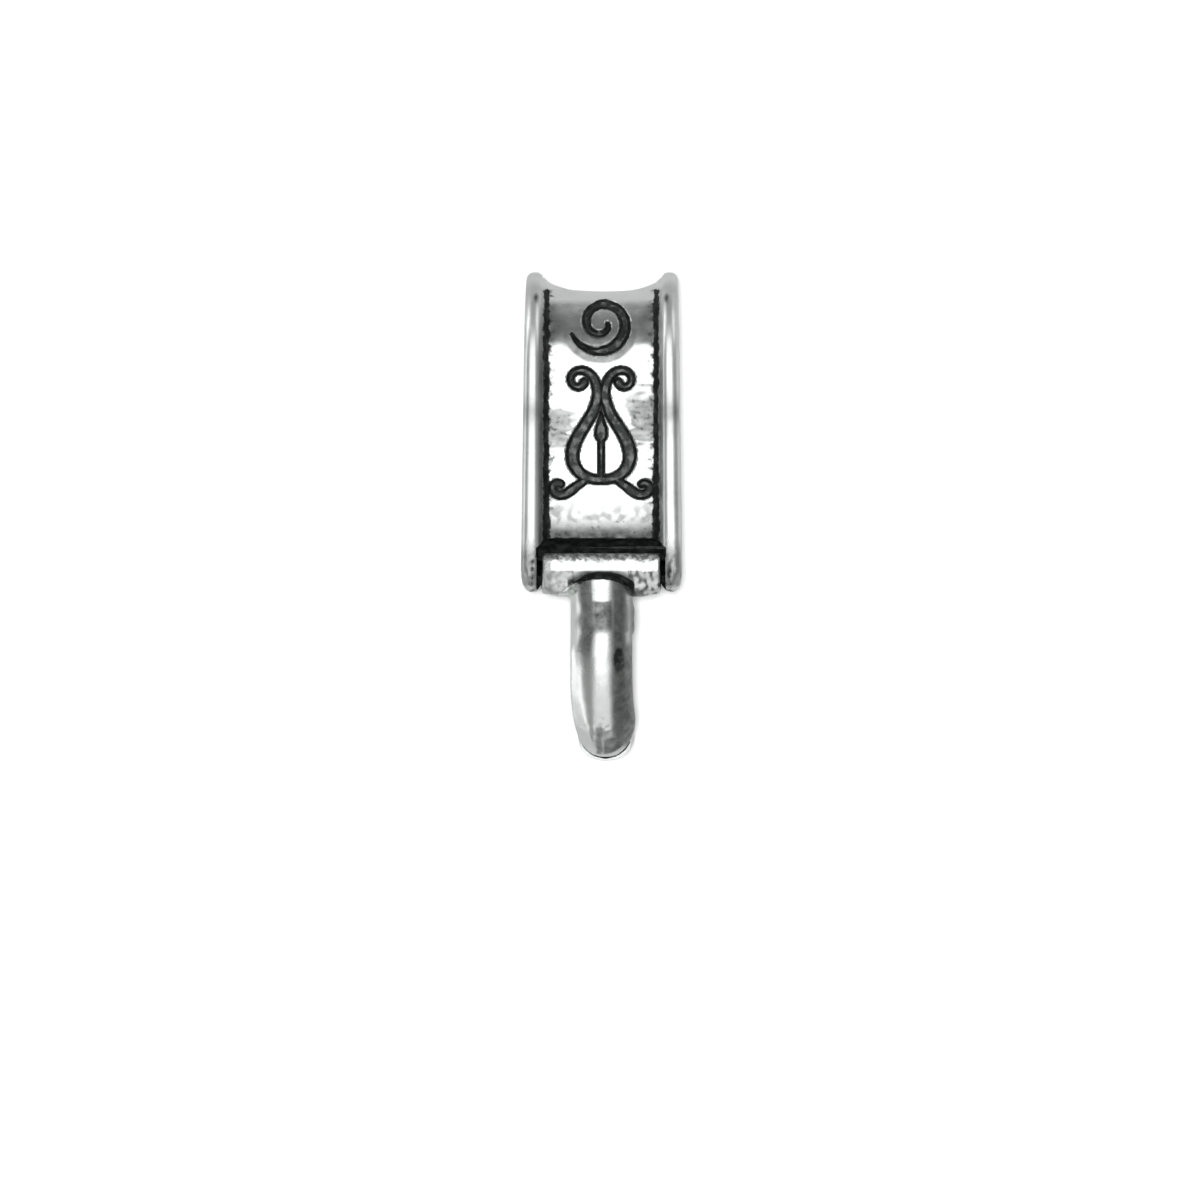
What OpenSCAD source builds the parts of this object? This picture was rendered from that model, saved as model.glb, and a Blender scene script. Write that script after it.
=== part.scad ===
// Hinged bail: a closed ring that slides on a chain, and a tongue on a hinge that opens to take
// a pendant and shuts against a back arm. It lies on its back: Z = 0 is the surface under it,
// +Z is its front, +Y is the top of the ring and -Y is the tip of the tongue.

/* [Overall] */
// Length from the top of the ring to the end of the back arm
bail_len = 18; // [16:0.1:20]

/* [Ring] */
// Height of the ring over its rims
ring_h = 11.8; // [10.5:0.1:12.5]
// Depth of the ring over its rims, from back to front
ring_d = 7.2; // [6.6:0.1:8]
// Width over the rims at the foot of the ring
ring_w = 5.9; // [5.4:0.1:7]
// Thickness of the band behind the middle of the field
wall_t = 0.78; // [0.65:0.01:1]
// Width of each rim
rim_w = 0.72; // [0.65:0.01:0.9]
// Rise of the rims above the middle of the field
rim_rise = 0.7; // [0.5:0.05:0.85]
// Width of the slope at the foot of each rim
flank_w = 0.22; // [0.1:0.01:0.3]
// Rise of that slope above the field
flank_rise = 0.48; // [0.3:0.02:0.5]
// Lean of each rim towards the middle, in degrees
rim_lean = 0.7; // [0:0.1:1.2]
// How far the field is dished across its width
field_dish = 0.18; // [0.08:0.01:0.25]
// Set-back of the rims from the band's inner face, which breaks the ring's inner edges
edge_break = 0.12; // [0.05:0.01:0.2]
// Outer radius of the ring's rear foot corner
heel_r = 1.2; // [1:0.05:1.5]
// Radius of the fillets in the inner corners of the ring's foot
inner_fillet_r = 0.5; // [0.3:0.05:0.6]
// Depth of the flat worn on the crests of the back rims
worn_flat = 0.03; // [0.01:0.01:0.06]

/* [Hinge] */
// Radius of the hinge pin
pin_r = 0.3; // [0.2:0.01:0.35]
// Radial clearance of the pin in the knuckle
pin_clearance = 0.04; // [0.02:0.01:0.08]
// Radial clearance of the pin in the ears
ear_clearance = 0.01; // [0.01:0.01:0.02]
// How far each end of the pin lies inside the ear's outer face
pin_inset = 0.05; // [0.02:0.01:0.1]
// Outer radius of the ears about the pin
ear_r = 0.85; // [0.75:0.01:0.95]
// Thickness of each ear
ear_t = 0.59; // [0.5:0.01:0.72]
// Step from the rims' crests down to the ears' inner part
ear_step = 0.02; // [0.01:0.01:0.06]
// Gap between the knuckle and each ear
side_gap = 0.17; // [0.06:0.01:0.2]
// Clearance between the knuckle's swing and the ring
swing_gap = 0.12; // [0.08:0.01:0.2]

/* [Knuckle] */
// Radius of the knuckle's barrel
knuckle_r = 0.88; // [0.8:0.01:0.92]
// Distance from the middle of the pin to the knuckle's front
knuckle_front = 0.8; // [0.7:0.01:0.82]
// Rise of the knuckle's flat top above the pin
knuckle_rise = 0.57; // [0.45:0.01:0.65]
// Rounding of the knuckle's top front edge
knuckle_edge = 0.16; // [0.08:0.01:0.25]

/* [Tongue] */
// Width of the tongue
tongue_w = 2.36; // [2:0.02:2.8]
// Thickness of the tongue
tongue_t = 1.4; // [1.2:0.05:1.5]
// Step from the knuckle's front back to the tongue's
tongue_step = 0.12; // [0.08:0.01:0.2]
// How far the tongue's tip stops short of the back arm's end
tip_short = 0.14; // [0.1:0.01:0.2]
// How far the tongue's tip lies behind its root
tongue_hook = 1.95; // [1.6:0.05:2.3]

/* [Back arm] */
// Greatest width of the back arm, near its root
arm_w = 2.26; // [1.8:0.02:2.5]
// Thickness of the back arm
arm_t = 1.1; // [0.9:0.05:1.3]
// Height of the middle of the back arm's root above the surface
arm_root_z = 1.45; // [1.2:0.05:1.8]
// Height of the middle of the back arm's straight above the surface
arm_low_z = 0.85; // [0.7:0.05:1.2]
// Radius of the back arm's forward bend
arm_bend_r = 2.3; // [1.9:0.05:2.5]
// Gap between the tongue's tip and its seat on the back arm
seat_gap = 0.08; // [0.05:0.01:0.12]

/* [Scrollwork] */
// Depth of the engraving
groove_depth = 0.18; // [0.1:0.01:0.25]
// Widest part of a scroll's stroke
stroke_w = 0.44; // [0.3:0.01:0.5]
// Height of the scroll motif's lyre
motif_h = 4.2; // [3.8:0.05:4.4]
// Distance from the top of the ring to the base of the lyre
motif_drop = 8.1; // [7.9:0.05:8.3]
// Radius of the volute above the motif
volute_r = 1.15; // [0.8:0.05:1.2]
// Distance from the top of the ring to the middle of the volute
volute_drop = 1.93; // [1.7:0.02:2.1]

/* [Hidden] */
$fn = 96;
silver = "silver";
burnished = "gainsboro";
dark_silver = "dimgray";
far = 40;
// How far shapes of one solid run into each other
lap = 0.1;
// How far the band stops inside the rims' outer sides, as a share of a rim's width
band_share = 0.6;
// How far the engraving stops short of the rims, as a share of the slope at their foot
clear_share = 0.75;

ring_top = bail_len / 2;
foot_y = ring_top - ring_h;
end_y = -bail_len / 2;
arc_y = ring_top - ring_d / 2;
back_z = -worn_flat;
front_z = back_z + ring_d;
crest_t = wall_t + rim_rise;
crest_r = rim_w / 2;
band_half = ring_w / 2 - band_share * rim_w;
field_half = ring_w / 2 - rim_w;
dish_r = (field_half ^ 2 + field_dish ^ 2) / (2 * field_dish);
groove_half = field_half - clear_share * flank_w;

pin_y = foot_y + ear_r;
pin_z = front_z - ear_r;
pin_len = ring_w - 2 * pin_inset;
ear_in = ring_w / 2 - ear_t;
knuckle_half = ear_in - side_gap;
knuckle_corner_r = norm([knuckle_rise, knuckle_front]);
pocket_r = knuckle_corner_r + swing_gap;

// The side frame has X to the front, Y up the ring and Z to the left, so a turn of -90 degrees
// about Y brings it into the part's own frame.
module from_side() {
    rotate([0, -90, 0])
        children();
}

// Sweeps a section round the whole ring. The section's X is its height above the inner face.
module ring_sweep() {
    front_run = arc_y - pin_y;
    back_run = arc_y - foot_y - heel_r;
    foot_run = ring_d - ear_r - heel_r;
    from_side() translate([back_z, 0, 0]) {
        translate([ring_d / 2, arc_y, 0])
            turn(ring_d / 2, 180) children();
        translate([ring_d - crest_t, arc_y, 0])
            wall_run(front_run) children();
        translate([ring_d - ear_r, pin_y, 0])
            rotate([0, 0, -90]) turn(ear_r, 90) children();
        translate([ring_d - ear_r, foot_y + crest_t, 0])
            rotate([0, 0, -90]) wall_run(foot_run) children();
        translate([heel_r, foot_y + heel_r, 0])
            rotate([0, 0, 180]) turn(heel_r, 90) children();
        translate([crest_t, foot_y + heel_r, 0])
            rotate([0, 0, 180]) wall_run(back_run) children();
    }
}

// Fillets the ring's inner foot corners: the rear one, and the front one if asked.
module foot_fillets(base_t, width, front) {
    low_y = foot_y + crest_t - base_t;
    from_side() translate([back_z, 0, -width / 2]) {
        translate([crest_t - base_t, low_y, 0])
            corner_fillet(width);
        if (front) translate([ring_d - crest_t + base_t, low_y, 0])
            mirror([1, 0, 0]) corner_fillet(width);
    }
}

module corner_fillet(width) {
    linear_extrude(width) difference() {
        translate([-lap, -lap]) square(inner_fillet_r + lap);
        translate([inner_fillet_r, inner_fillet_r]) circle(inner_fillet_r);
    }
}

// A turn about Z that starts at the X axis. Its ends run straight on into the walls beside it.
module turn(radius, angle) {
    rotate_extrude(angle = angle)
        turn_section(radius) children();
    wall_run(lap)
        turn_section(radius) children();
    rotate([0, 0, angle]) mirror([0, 1, 0])
        wall_run(lap) turn_section(radius) children();
}

module turn_section(radius) {
    intersection() {
        translate([radius - crest_t, 0]) children();
        translate([0, -far / 2]) square([far, far]);
    }
}

module wall_run(length) {
    rotate([90, 0, 0])
        linear_extrude(length) children();
}

module rim_section() {
    crest_h = crest_t - crest_r;
    translate([edge_break, -crest_r])
        square([crest_h - edge_break, rim_w]);
    translate([crest_h, 0])
        circle(crest_r);
}

module band_section() {
    difference() {
        translate([0, -band_half]) square([wall_t + 2 * field_dish, 2 * band_half]);
        translate([wall_t + dish_r, 0]) circle(dish_r, $fn = 256);
    }
    for (side = [0, 1]) mirror([0, side])
        polygon([
            [wall_t, field_half - flank_w],
            [wall_t + flank_rise, field_half + lap],
            [wall_t, field_half + lap],
        ]);
}

// What the engraving may reach into: from its floor outwards, between the rims. It stops just
// short of the top of the ring, where the field turns away from the front.
shell_turn = 88;
module groove_section() {
    intersection() {
        translate([0, -groove_half]) square([crest_t, 2 * groove_half]);
        translate([wall_t + dish_r, 0]) circle(dish_r + groove_depth, $fn = 256);
    }
}

module groove_shell() {
    from_side() translate([back_z, 0, 0]) {
        translate([ring_d / 2, arc_y, 0])
            rotate_extrude(angle = shell_turn)
                translate([ring_d / 2 - crest_t, 0]) groove_section();
        translate([ring_d - crest_t, arc_y, 0])
            wall_run(arc_y - pin_y) groove_section();
    }
}

// A scroll is drawn like a pen stroke: its heading turns as it goes. Bends are rows of
// [share of its length, degrees per unit of motif height]; widths are rows of
// [share of its length, share of the widest stroke].
scroll_steps = 44;
function scroll_line(start, heading, length, bends) = [
    for (i = 0, p = start, h = heading; i <= scroll_steps;
         p = p + [cos(h), sin(h)] * length / scroll_steps,
         h = h + lookup(i / scroll_steps, bends) * length / scroll_steps, i = i + 1)
        [p.x, p.y, h]
];
function scroll_side(line, widths, side) = [
    for (i = [0 : len(line) - 1])
        let (half = side * lookup(i / (len(line) - 1), widths) * stroke_w / motif_h / 2)
        [line[i].x - half * sin(line[i].z), line[i].y + half * cos(line[i].z)]
];
function reversed(list) = [for (i = [len(list) - 1 : -1 : 0]) list[i]];

module scroll(start, heading, length, bends, widths) {
    line = scroll_line(start, heading, length, bends);
    polygon(concat(scroll_side(line, widths, 1), reversed(scroll_side(line, widths, -1))));
}

// The scrolls of one side of the lyre, in units of its height from its base: the side sweeps out,
// in at the waist and curls outwards at the top, and the foot curls up below it.
lyre_bends = [
    [0, 150], [0.14, 330], [0.3, 130], [0.45, -60], [0.55, -150], [0.68, -260], [0.8, -620],
    [1, -1150],
];
lyre_widths = [[0, 0.8], [0.25, 1.15], [0.5, 1], [0.75, 0.8], [0.9, 0.6], [1, 0.8]];
lyre_start = [-0.01, 0.1];
lyre_run = 1.56;
foot_bends = [[0, 60], [0.3, -100], [0.5, 420], [0.75, 1100], [1, 1500]];
foot_widths = [[0, 0.6], [0.4, 0.85], [1, 0.7]];
foot_start = [0.1, 0.12];
foot_heading = -35;
foot_run_share = 0.5;

module motif_side() {
    scroll(lyre_start, 0, lyre_run, lyre_bends, lyre_widths);
    scroll(foot_start, foot_heading, foot_run_share, foot_bends, foot_widths);
}

// The bud in the middle: a drop on a stem.
module motif_bud() {
    bud_r = 0.06;
    bud_y = 0.5;
    bud_tip_y = 0.72;
    stem_half = 0.03;
    base_y = 0.1;
    touch = asin(bud_r / (bud_tip_y - bud_y));
    translate([0, bud_y]) circle(bud_r);
    polygon([
        [0, bud_tip_y],
        [-bud_r * cos(touch), bud_y + bud_r * sin(touch)],
        [bud_r * cos(touch), bud_y + bud_r * sin(touch)],
    ]);
    translate([-stem_half, base_y]) square([2 * stem_half, bud_y - base_y]);
}

module motif() {
    translate([0, ring_top - motif_drop]) scale(motif_h) {
        motif_side();
        mirror([1, 0]) motif_side();
        motif_bud();
    }
}

// The volute turns in from its rim. Its widths are rows like a scroll's.
volute_turns = 1.45;
volute_start = 200;
volute_shrink = 0.8;
volute_steps = 64;
volute_widths = [[0, 0.3], [0.2, 0.95], [0.6, 0.75], [1, 0.4]];
function volute_point(share, side) =
    let (
        angle = volute_start + 360 * volute_turns * share,
        middle = volute_r * (1 - volute_shrink * share),
        half = side * stroke_w * lookup(share, volute_widths) / 2
    )
    (middle + half) * [cos(angle), sin(angle)];
module volute() {
    translate([0, ring_top - volute_drop])
        polygon(concat(
            [for (i = [0 : volute_steps]) volute_point(i / volute_steps, 1)],
            [for (i = [volute_steps : -1 : 0]) volute_point(i / volute_steps, -1)]
        ));
}

module engraving() {
    intersection() {
        groove_shell();
        translate([0, 0, front_z / 2]) linear_extrude(far) union() {
            motif();
            volute();
        }
    }
}

// A bar lofted along a line of [y, z] points in the middle plane, with a half width and a half
// thickness at each point. Its sections are ellipses square to the line.
bar_sides = 28;
function bar_ring(line, i, half_w, half_t) =
    let (
        step = line[min(i + 1, len(line) - 1)] - line[max(i - 1, 0)],
        out = half_t * [step[1], -step[0]] / norm(step)
    )
    [
        for (k = [0 : bar_sides - 1])
            let (a = 360 * k / bar_sides, p = line[i] + sin(a) * out)
            [half_w * cos(a), p[0], p[1]]
    ];
module bar(line, half_ws, half_ts) {
    last = len(line) - 1;
    points = [for (i = [0 : last]) each bar_ring(line, i, half_ws[i], half_ts[i])];
    sides = [
        for (i = [0 : last - 1], j = [0 : bar_sides - 1])
            let (k = (j + 1) % bar_sides, low = i * bar_sides, high = low + bar_sides)
            each [[low + j, high + j, high + k], [low + j, high + k, low + k]]
    ];
    root_end = [for (j = [0 : bar_sides - 1]) j];
    tip_end = [for (j = [bar_sides - 1 : -1 : 0]) last * bar_sides + j];
    polyhedron(points, concat(sides, [root_end, tip_end]));
}

// The tongue: rows of [share of length, share of width, share of thickness, share of hook].
tongue_rows = [
    [0.07, 1.4, 0.88, 0],
    [0.12, 1.36, 0.9, 0],
    [0.145, 1.22, 0.93, 0.005],
    [0.157, 1, 0.97, 0.008],
    [0.175, 0.96, 0.98, 0.012],
    [0.25, 0.955, 1, 0.03],
    [0.33, 0.955, 1, 0.06],
    [0.44, 0.965, 1, 0.12],
    [0.54, 0.97, 0.99, 0.21],
    [0.64, 0.97, 0.97, 0.33],
    [0.72, 0.96, 0.94, 0.45],
    [0.79, 0.945, 0.9, 0.57],
    [0.85, 0.89, 0.84, 0.69],
    [0.9, 0.8, 0.76, 0.79],
    [0.94, 0.67, 0.66, 0.87],
    [0.97, 0.5, 0.52, 0.93],
    [0.99, 0.3, 0.34, 0.975],
    [1, 0.12, 0.16, 1],
];
tongue_len = pin_y - end_y - tip_short;
tongue_root_z = pin_z + knuckle_front - tongue_step - tongue_t / 2;
tongue_tip_z = tongue_root_z - tongue_hook;
module tongue(grow) {
    bar(
        [
            for (row = tongue_rows)
                [pin_y - (tongue_len + grow) * row[0], tongue_root_z - tongue_hook * row[3]]
        ],
        [for (row = tongue_rows) row[1] * tongue_w / 2 + grow],
        [for (row = tongue_rows) row[2] * tongue_t / 2 + grow]
    );
}

// The back arm: a root in the band, a straight that leans towards the surface, and a bend that
// turns forward. It runs on past the tongue's tip and is cut back there to a seat.
arm_root_y = foot_y + rim_rise + wall_t / 2;
arm_neck_y = foot_y - arm_t / 2;
arm_neck_z = (arm_root_z + arm_low_z) / 2;
arm_bend_y = end_y + arm_t / 2 + arm_bend_r;
arm_bend_z = arm_low_z + arm_bend_r;
arm_spare = 0.3;
arm_line = concat(
    [
        [arm_root_y, arm_root_z],
        [foot_y + rim_rise / 2, arm_root_z],
        [arm_neck_y, arm_neck_z],
        [arm_bend_y, arm_low_z],
    ],
    [
        for (turn = [15 : 15 : 90])
            [arm_bend_y - arm_bend_r * sin(turn), arm_bend_z - arm_bend_r * cos(turn)]
    ],
    [[arm_bend_y - arm_bend_r, tongue_tip_z + arm_spare]]
);
// The back arm's width along its line, as shares of its greatest width
arm_width_shares = [0.95, 0.98, 0.98, 0.86, 0.9, 0.94, 0.95, 0.92, 0.87, 0.83, 0.82];
module back_arm() {
    difference() {
        bar(
            arm_line,
            [for (share = arm_width_shares) share * arm_w / 2],
            [for (share = arm_width_shares) arm_t / 2]
        );
        parting_cut();
        tongue(seat_gap);
    }
}

// All that lies ahead of a plane through the hinge's axis and the tongue's tip, so the tongue
// leaves its seat square to it.
module parting_cut() {
    lean = atan2(pin_z - tongue_tip_z, tongue_len);
    translate([0, pin_y, pin_z]) rotate([lean, 0, 0])
        translate([-far / 2, -far, -seat_gap]) cube([far, far, far]);
}

module along_pin(radius, length) {
    translate([0, pin_y, pin_z]) rotate([0, 90, 0])
        cylinder(r = radius, h = length, center = true);
}

module rims() {
    for (side = [0, 1]) mirror([side, 0, 0])
        translate([ring_w / 2, foot_y, 0]) rotate([0, 0, rim_lean])
            translate([-rim_w / 2, -foot_y, 0]) {
                ring_sweep() rim_section();
                foot_fillets(edge_break, rim_w, true);
            }
}

// Squares up the rims' inner sides about the pin. The pocket trims them to the ears' thickness.
module ears() {
    crest_x = ring_w / 2 - crest_r;
    for (side = [-1, 1])
        translate([side * (crest_x + knuckle_half) / 2, 0, 0])
            along_pin(ear_r - ear_step, crest_x - knuckle_half);
}

module knuckle_pocket() {
    along_pin(pocket_r, 2 * ear_in);
}

module ring_band() {
    color(silver) {
        difference() {
            union() {
                ring_sweep() band_section();
                foot_fillets(0, 2 * band_half, false);
                rims();
                ears();
            }
            knuckle_pocket();
            along_pin(pin_r + ear_clearance, far);
            engraving();
            below_surface();
        }
        back_arm();
    }
}

module below_surface() {
    translate([-far / 2, -far / 2, -far]) cube([far, far, far]);
}

// The knuckle's barrel, cut flat at its top and squared out to a rounded edge at its front.
module knuckle_section() {
    intersection() {
        translate([knuckle_front - knuckle_r, 0]) circle(knuckle_r);
        translate([-far / 2, knuckle_rise - far]) square([far, far]);
    }
    square([knuckle_front - knuckle_edge, knuckle_rise]);
    square([knuckle_front, knuckle_rise - knuckle_edge]);
    translate([knuckle_front - knuckle_edge, knuckle_rise - knuckle_edge]) circle(knuckle_edge);
}

module gate() {
    color(burnished) difference() {
        union() {
            from_side() translate([pin_z, pin_y, -knuckle_half])
                linear_extrude(2 * knuckle_half) knuckle_section();
            tongue(0);
        }
        along_pin(pin_r + pin_clearance, far);
    }
}

module hinge_pin() {
    color(dark_silver) along_pin(pin_r, pin_len);
}

ring_band();
gate();
hinge_pin();
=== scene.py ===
import math

import bmesh
import bpy
import numpy as np
from mathutils import Matrix, Vector, noise


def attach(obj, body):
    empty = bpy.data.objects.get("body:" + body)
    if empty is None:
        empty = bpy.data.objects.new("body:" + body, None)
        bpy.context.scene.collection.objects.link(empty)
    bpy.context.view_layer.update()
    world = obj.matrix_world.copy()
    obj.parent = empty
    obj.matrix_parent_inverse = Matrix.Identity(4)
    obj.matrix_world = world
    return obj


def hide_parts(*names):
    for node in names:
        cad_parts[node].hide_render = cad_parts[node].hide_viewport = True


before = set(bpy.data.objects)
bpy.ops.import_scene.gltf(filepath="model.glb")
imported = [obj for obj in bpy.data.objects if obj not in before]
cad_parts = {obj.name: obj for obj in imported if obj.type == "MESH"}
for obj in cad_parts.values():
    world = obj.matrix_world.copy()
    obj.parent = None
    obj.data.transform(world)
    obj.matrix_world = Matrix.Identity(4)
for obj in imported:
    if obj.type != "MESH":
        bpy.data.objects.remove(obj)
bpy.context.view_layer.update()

# Lengths are in mm until a mesh is made. The part lies on its back: Z = 0 is the surface, +Z the
# front, +Y the top of the ring and -Y the tip of the tongue.
MM = 0.001
BAIL_LEN = 18.0
RING_H = 11.8
RING_D = 7.2
RING_W = 5.9
WALL_T = 0.78
RIM_W = 0.72
RIM_RISE = 0.7
FIELD_DISH = 0.18
WORN_FLAT = 0.03
HEEL_R = 1.2
INNER_R = 0.5
PIN_R = 0.3
EAR_R = 0.85
EAR_T = 0.59
SIDE_GAP = 0.17
SWING_GAP = 0.12
KNUCKLE_R = 0.88
KNUCKLE_FRONT = 0.8
KNUCKLE_RISE = 0.57
TONGUE_W = 2.36
TONGUE_T = 1.4
TONGUE_STEP = 0.12
TIP_SHORT = 0.14
TONGUE_HOOK = 1.95
ARM_W = 2.26
ARM_T = 1.1
ARM_ROOT_Z = 1.45
ARM_LOW_Z = 0.85
ARM_BEND_R = 2.3
SEAT_GAP = 0.08
GROOVE_DEPTH = 0.18
STROKE_W = 0.44
MOTIF_H = 4.2
MOTIF_DROP = 8.1
VOLUTE_R = 1.15
VOLUTE_DROP = 1.93

RING_TOP = BAIL_LEN / 2
FOOT_Y = RING_TOP - RING_H
END_Y = -BAIL_LEN / 2
ARC_Y = RING_TOP - RING_D / 2
BACK_Z = -WORN_FLAT
FRONT_Z = BACK_Z + RING_D
MIDDLE_Z = BACK_Z + RING_D / 2
CREST_T = WALL_T + RIM_RISE
FIELD_HALF = RING_W / 2 - RIM_W
DISH_R = (FIELD_HALF ** 2 + FIELD_DISH ** 2) / (2 * FIELD_DISH)
PIN_Y = FOOT_Y + EAR_R
PIN_Z = FRONT_Z - EAR_R
EAR_IN = RING_W / 2 - EAR_T
KNUCKLE_HALF = EAR_IN - SIDE_GAP
POCKET_R = math.hypot(KNUCKLE_RISE, KNUCKLE_FRONT) + SWING_GAP
TONGUE_LEN = PIN_Y - END_Y - TIP_SHORT
TONGUE_Z = PIN_Z + KNUCKLE_FRONT - TONGUE_STEP - TONGUE_T / 2
TIP_Z = TONGUE_Z - TONGUE_HOOK


def smoothstep(low, high, value):
    t = np.clip((value - low) / (high - low), 0, 1)
    return t * t * (3 - 2 * t)


def bell(value, middle, width):
    return np.exp(-((value - middle) / width) ** 2)


def wobble(points, size, seed):
    """Smooth noise, about -1 to 1, that varies over about `size` mm."""
    shift = Vector((seed * 7.3, seed * 3.1, seed * 5.7))
    return np.array([noise.noise(Vector(p) / size + shift) for p in points])


# Meshes

def make_object(name, points, faces):
    mesh = bpy.data.meshes.new(name)
    mesh.from_pydata((np.asarray(points) * MM).tolist(), [], faces)
    mesh.validate()
    mesh.update()
    obj = bpy.data.objects.new(name, mesh)
    bpy.context.scene.collection.objects.link(obj)
    return obj


def points_of(obj):
    flat = np.empty(len(obj.data.vertices) * 3)
    obj.data.vertices.foreach_get("co", flat)
    return flat.reshape(-1, 3) / MM


def normals_of(obj):
    flat = np.empty(len(obj.data.vertices) * 3)
    obj.data.vertices.foreach_get("normal", flat)
    return flat.reshape(-1, 3)


def set_points(obj, points):
    obj.data.vertices.foreach_set("co", (points * MM).ravel())
    obj.data.update()


def combine(obj, tool, operation):
    """Applies a boolean with `tool` and drops the tool."""
    step = obj.modifiers.new("combine", "BOOLEAN")
    step.operation = operation
    step.solver = "MANIFOLD"
    step.object = tool
    graph = bpy.context.evaluated_depsgraph_get()
    mesh = bpy.data.meshes.new_from_object(obj.evaluated_get(graph))
    obj.modifiers.clear()
    old = obj.data
    obj.data = mesh
    mesh.name = obj.name
    bpy.data.meshes.remove(old)
    bpy.data.objects.remove(tool)


def drop_slivers(obj):
    """Welds the points that booleans leave all but touching, and drops faces that lie back to
    back or stand alone."""
    weld = 0.0005
    mesh = bmesh.new()
    mesh.from_mesh(obj.data)
    bmesh.ops.triangulate(mesh, faces=mesh.faces)
    bmesh.ops.remove_doubles(mesh, verts=mesh.verts, dist=weld * MM)
    bmesh.ops.dissolve_degenerate(mesh, edges=mesh.edges, dist=weld * MM)
    bmesh.ops.triangulate(mesh, faces=mesh.faces)
    by_corners = {}
    for face in mesh.faces:
        by_corners.setdefault(frozenset(face.verts), []).append(face)
    stray = {face for faces in by_corners.values() if len(faces) > 1 for face in faces}
    stray |= {face for face in mesh.faces if all(len(e.link_faces) == 1 for e in face.edges)}
    bmesh.ops.delete(mesh, geom=list(stray), context="FACES")
    mesh.to_mesh(obj.data)
    mesh.free()
    obj.data.update()


def grid_faces(rows, columns, wrap_rows):
    """Quads of a grid whose columns close on themselves, and its rows too if asked."""
    faces = []
    for i in range(rows if wrap_rows else rows - 1):
        low = i * columns
        high = (i + 1) % rows * columns
        for j in range(columns):
            k = (j + 1) % columns
            faces.append((low + j, low + k, high + k, high + j))
    return faces


def tube(name, rings):
    """A closed skin over rings of points, capped at both ends."""
    rows, columns, _ = rings.shape
    faces = grid_faces(rows, columns, False)
    faces.append(tuple(reversed(range(columns))))
    faces.append(tuple((rows - 1) * columns + j for j in range(columns)))
    return make_object(name, rings.reshape(-1, 3), faces)


def cylinder(name, radius, half, sides=96):
    """A cylinder along the hinge's axis."""
    turn = np.linspace(0, 2 * math.pi, sides, endpoint=False)
    rings = np.empty((2, sides, 3))
    rings[:, :, 1] = PIN_Y + radius * np.cos(turn)
    rings[:, :, 2] = PIN_Z - radius * np.sin(turn)
    rings[0, :, 0] = half
    rings[1, :, 0] = -half
    return tube(name, rings)


def face_outwards(obj):
    """Turns the mesh's faces outwards if it is inside out."""
    mesh = obj.data
    mesh.calc_loop_triangles()
    p = points_of(obj)
    corners = np.array([t.vertices[:] for t in mesh.loop_triangles])
    a, b, c = p[corners[:, 0]], p[corners[:, 1]], p[corners[:, 2]]
    if np.einsum("ij,ij->i", a, np.cross(b, c)).sum() < 0:
        mesh.flip_normals()


def smooth_rows(rows, count):
    """Smooth curves through rows of numbers, at `count` even steps of the first number."""
    rows = np.array(rows, dtype=float)
    at = rows[:, 0]
    values = rows[:, 1:]
    slopes = np.gradient(values, at, axis=0)
    samples = np.linspace(at[0], at[-1], count)
    i = np.clip(np.searchsorted(at, samples, side="right") - 1, 0, len(at) - 2)
    gap = (at[i + 1] - at[i])[:, None]
    t = ((samples - at[i]) / (at[i + 1] - at[i]))[:, None]
    return samples, (
        (2 * t ** 3 - 3 * t ** 2 + 1) * values[i] + (t ** 3 - 2 * t ** 2 + t) * gap * slopes[i]
        + (3 * t ** 2 - 2 * t ** 3) * values[i + 1] + (t ** 3 - t ** 2) * gap * slopes[i + 1]
    )


# Scrollwork: pen strokes whose heading turns as they go, in units of the motif's height

LYRE_BENDS = [
    (0, 150), (0.14, 330), (0.3, 130), (0.45, -60), (0.55, -150), (0.68, -260), (0.8, -620),
    (1, -1150),
]
LYRE_WIDTHS = [(0, 0.8), (0.25, 1.15), (0.5, 1), (0.75, 0.8), (0.9, 0.6), (1, 0.8)]
FOOT_BENDS = [(0, 60), (0.3, -100), (0.5, 420), (0.75, 1100), (1, 1500)]
FOOT_WIDTHS = [(0, 0.6), (0.4, 0.85), (1, 0.7)]
VOLUTE_WIDTHS = [(0, 0.3), (0.2, 0.95), (0.6, 0.75), (1, 0.4)]
SCROLL_STEPS = 44
VOLUTE_STEPS = 64
VOLUTE_TURNS = 1.45
VOLUTE_START = 200
VOLUTE_SHRINK = 0.8


def table(rows, shares):
    rows = np.array(rows)
    return np.interp(shares, rows[:, 0], rows[:, 1])


def scroll(start, heading, length, bends, widths):
    """Rows of x, y and half width, in mm, with the motif's place added."""
    shares = np.linspace(0, 1, SCROLL_STEPS + 1)
    step = length / SCROLL_STEPS
    turns = np.cumsum(table(bends, shares)[:-1] * step)
    headings = np.radians(heading + np.concatenate([[0], turns]))
    x = start[0] + np.concatenate([[0], np.cumsum(np.cos(headings[:-1]) * step)])
    y = start[1] + np.concatenate([[0], np.cumsum(np.sin(headings[:-1]) * step)])
    half = table(widths, shares) * STROKE_W / 2
    return np.column_stack([x * MOTIF_H, RING_TOP - MOTIF_DROP + y * MOTIF_H, half])


def volute():
    shares = np.linspace(0, 1, VOLUTE_STEPS + 1)
    turn = np.radians(VOLUTE_START + 360 * VOLUTE_TURNS * shares)
    radius = VOLUTE_R * (1 - VOLUTE_SHRINK * shares)
    half = table(VOLUTE_WIDTHS, shares) * STROKE_W / 2
    middle_y = RING_TOP - VOLUTE_DROP
    return np.column_stack([radius * np.cos(turn), middle_y + radius * np.sin(turn), half])


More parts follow.
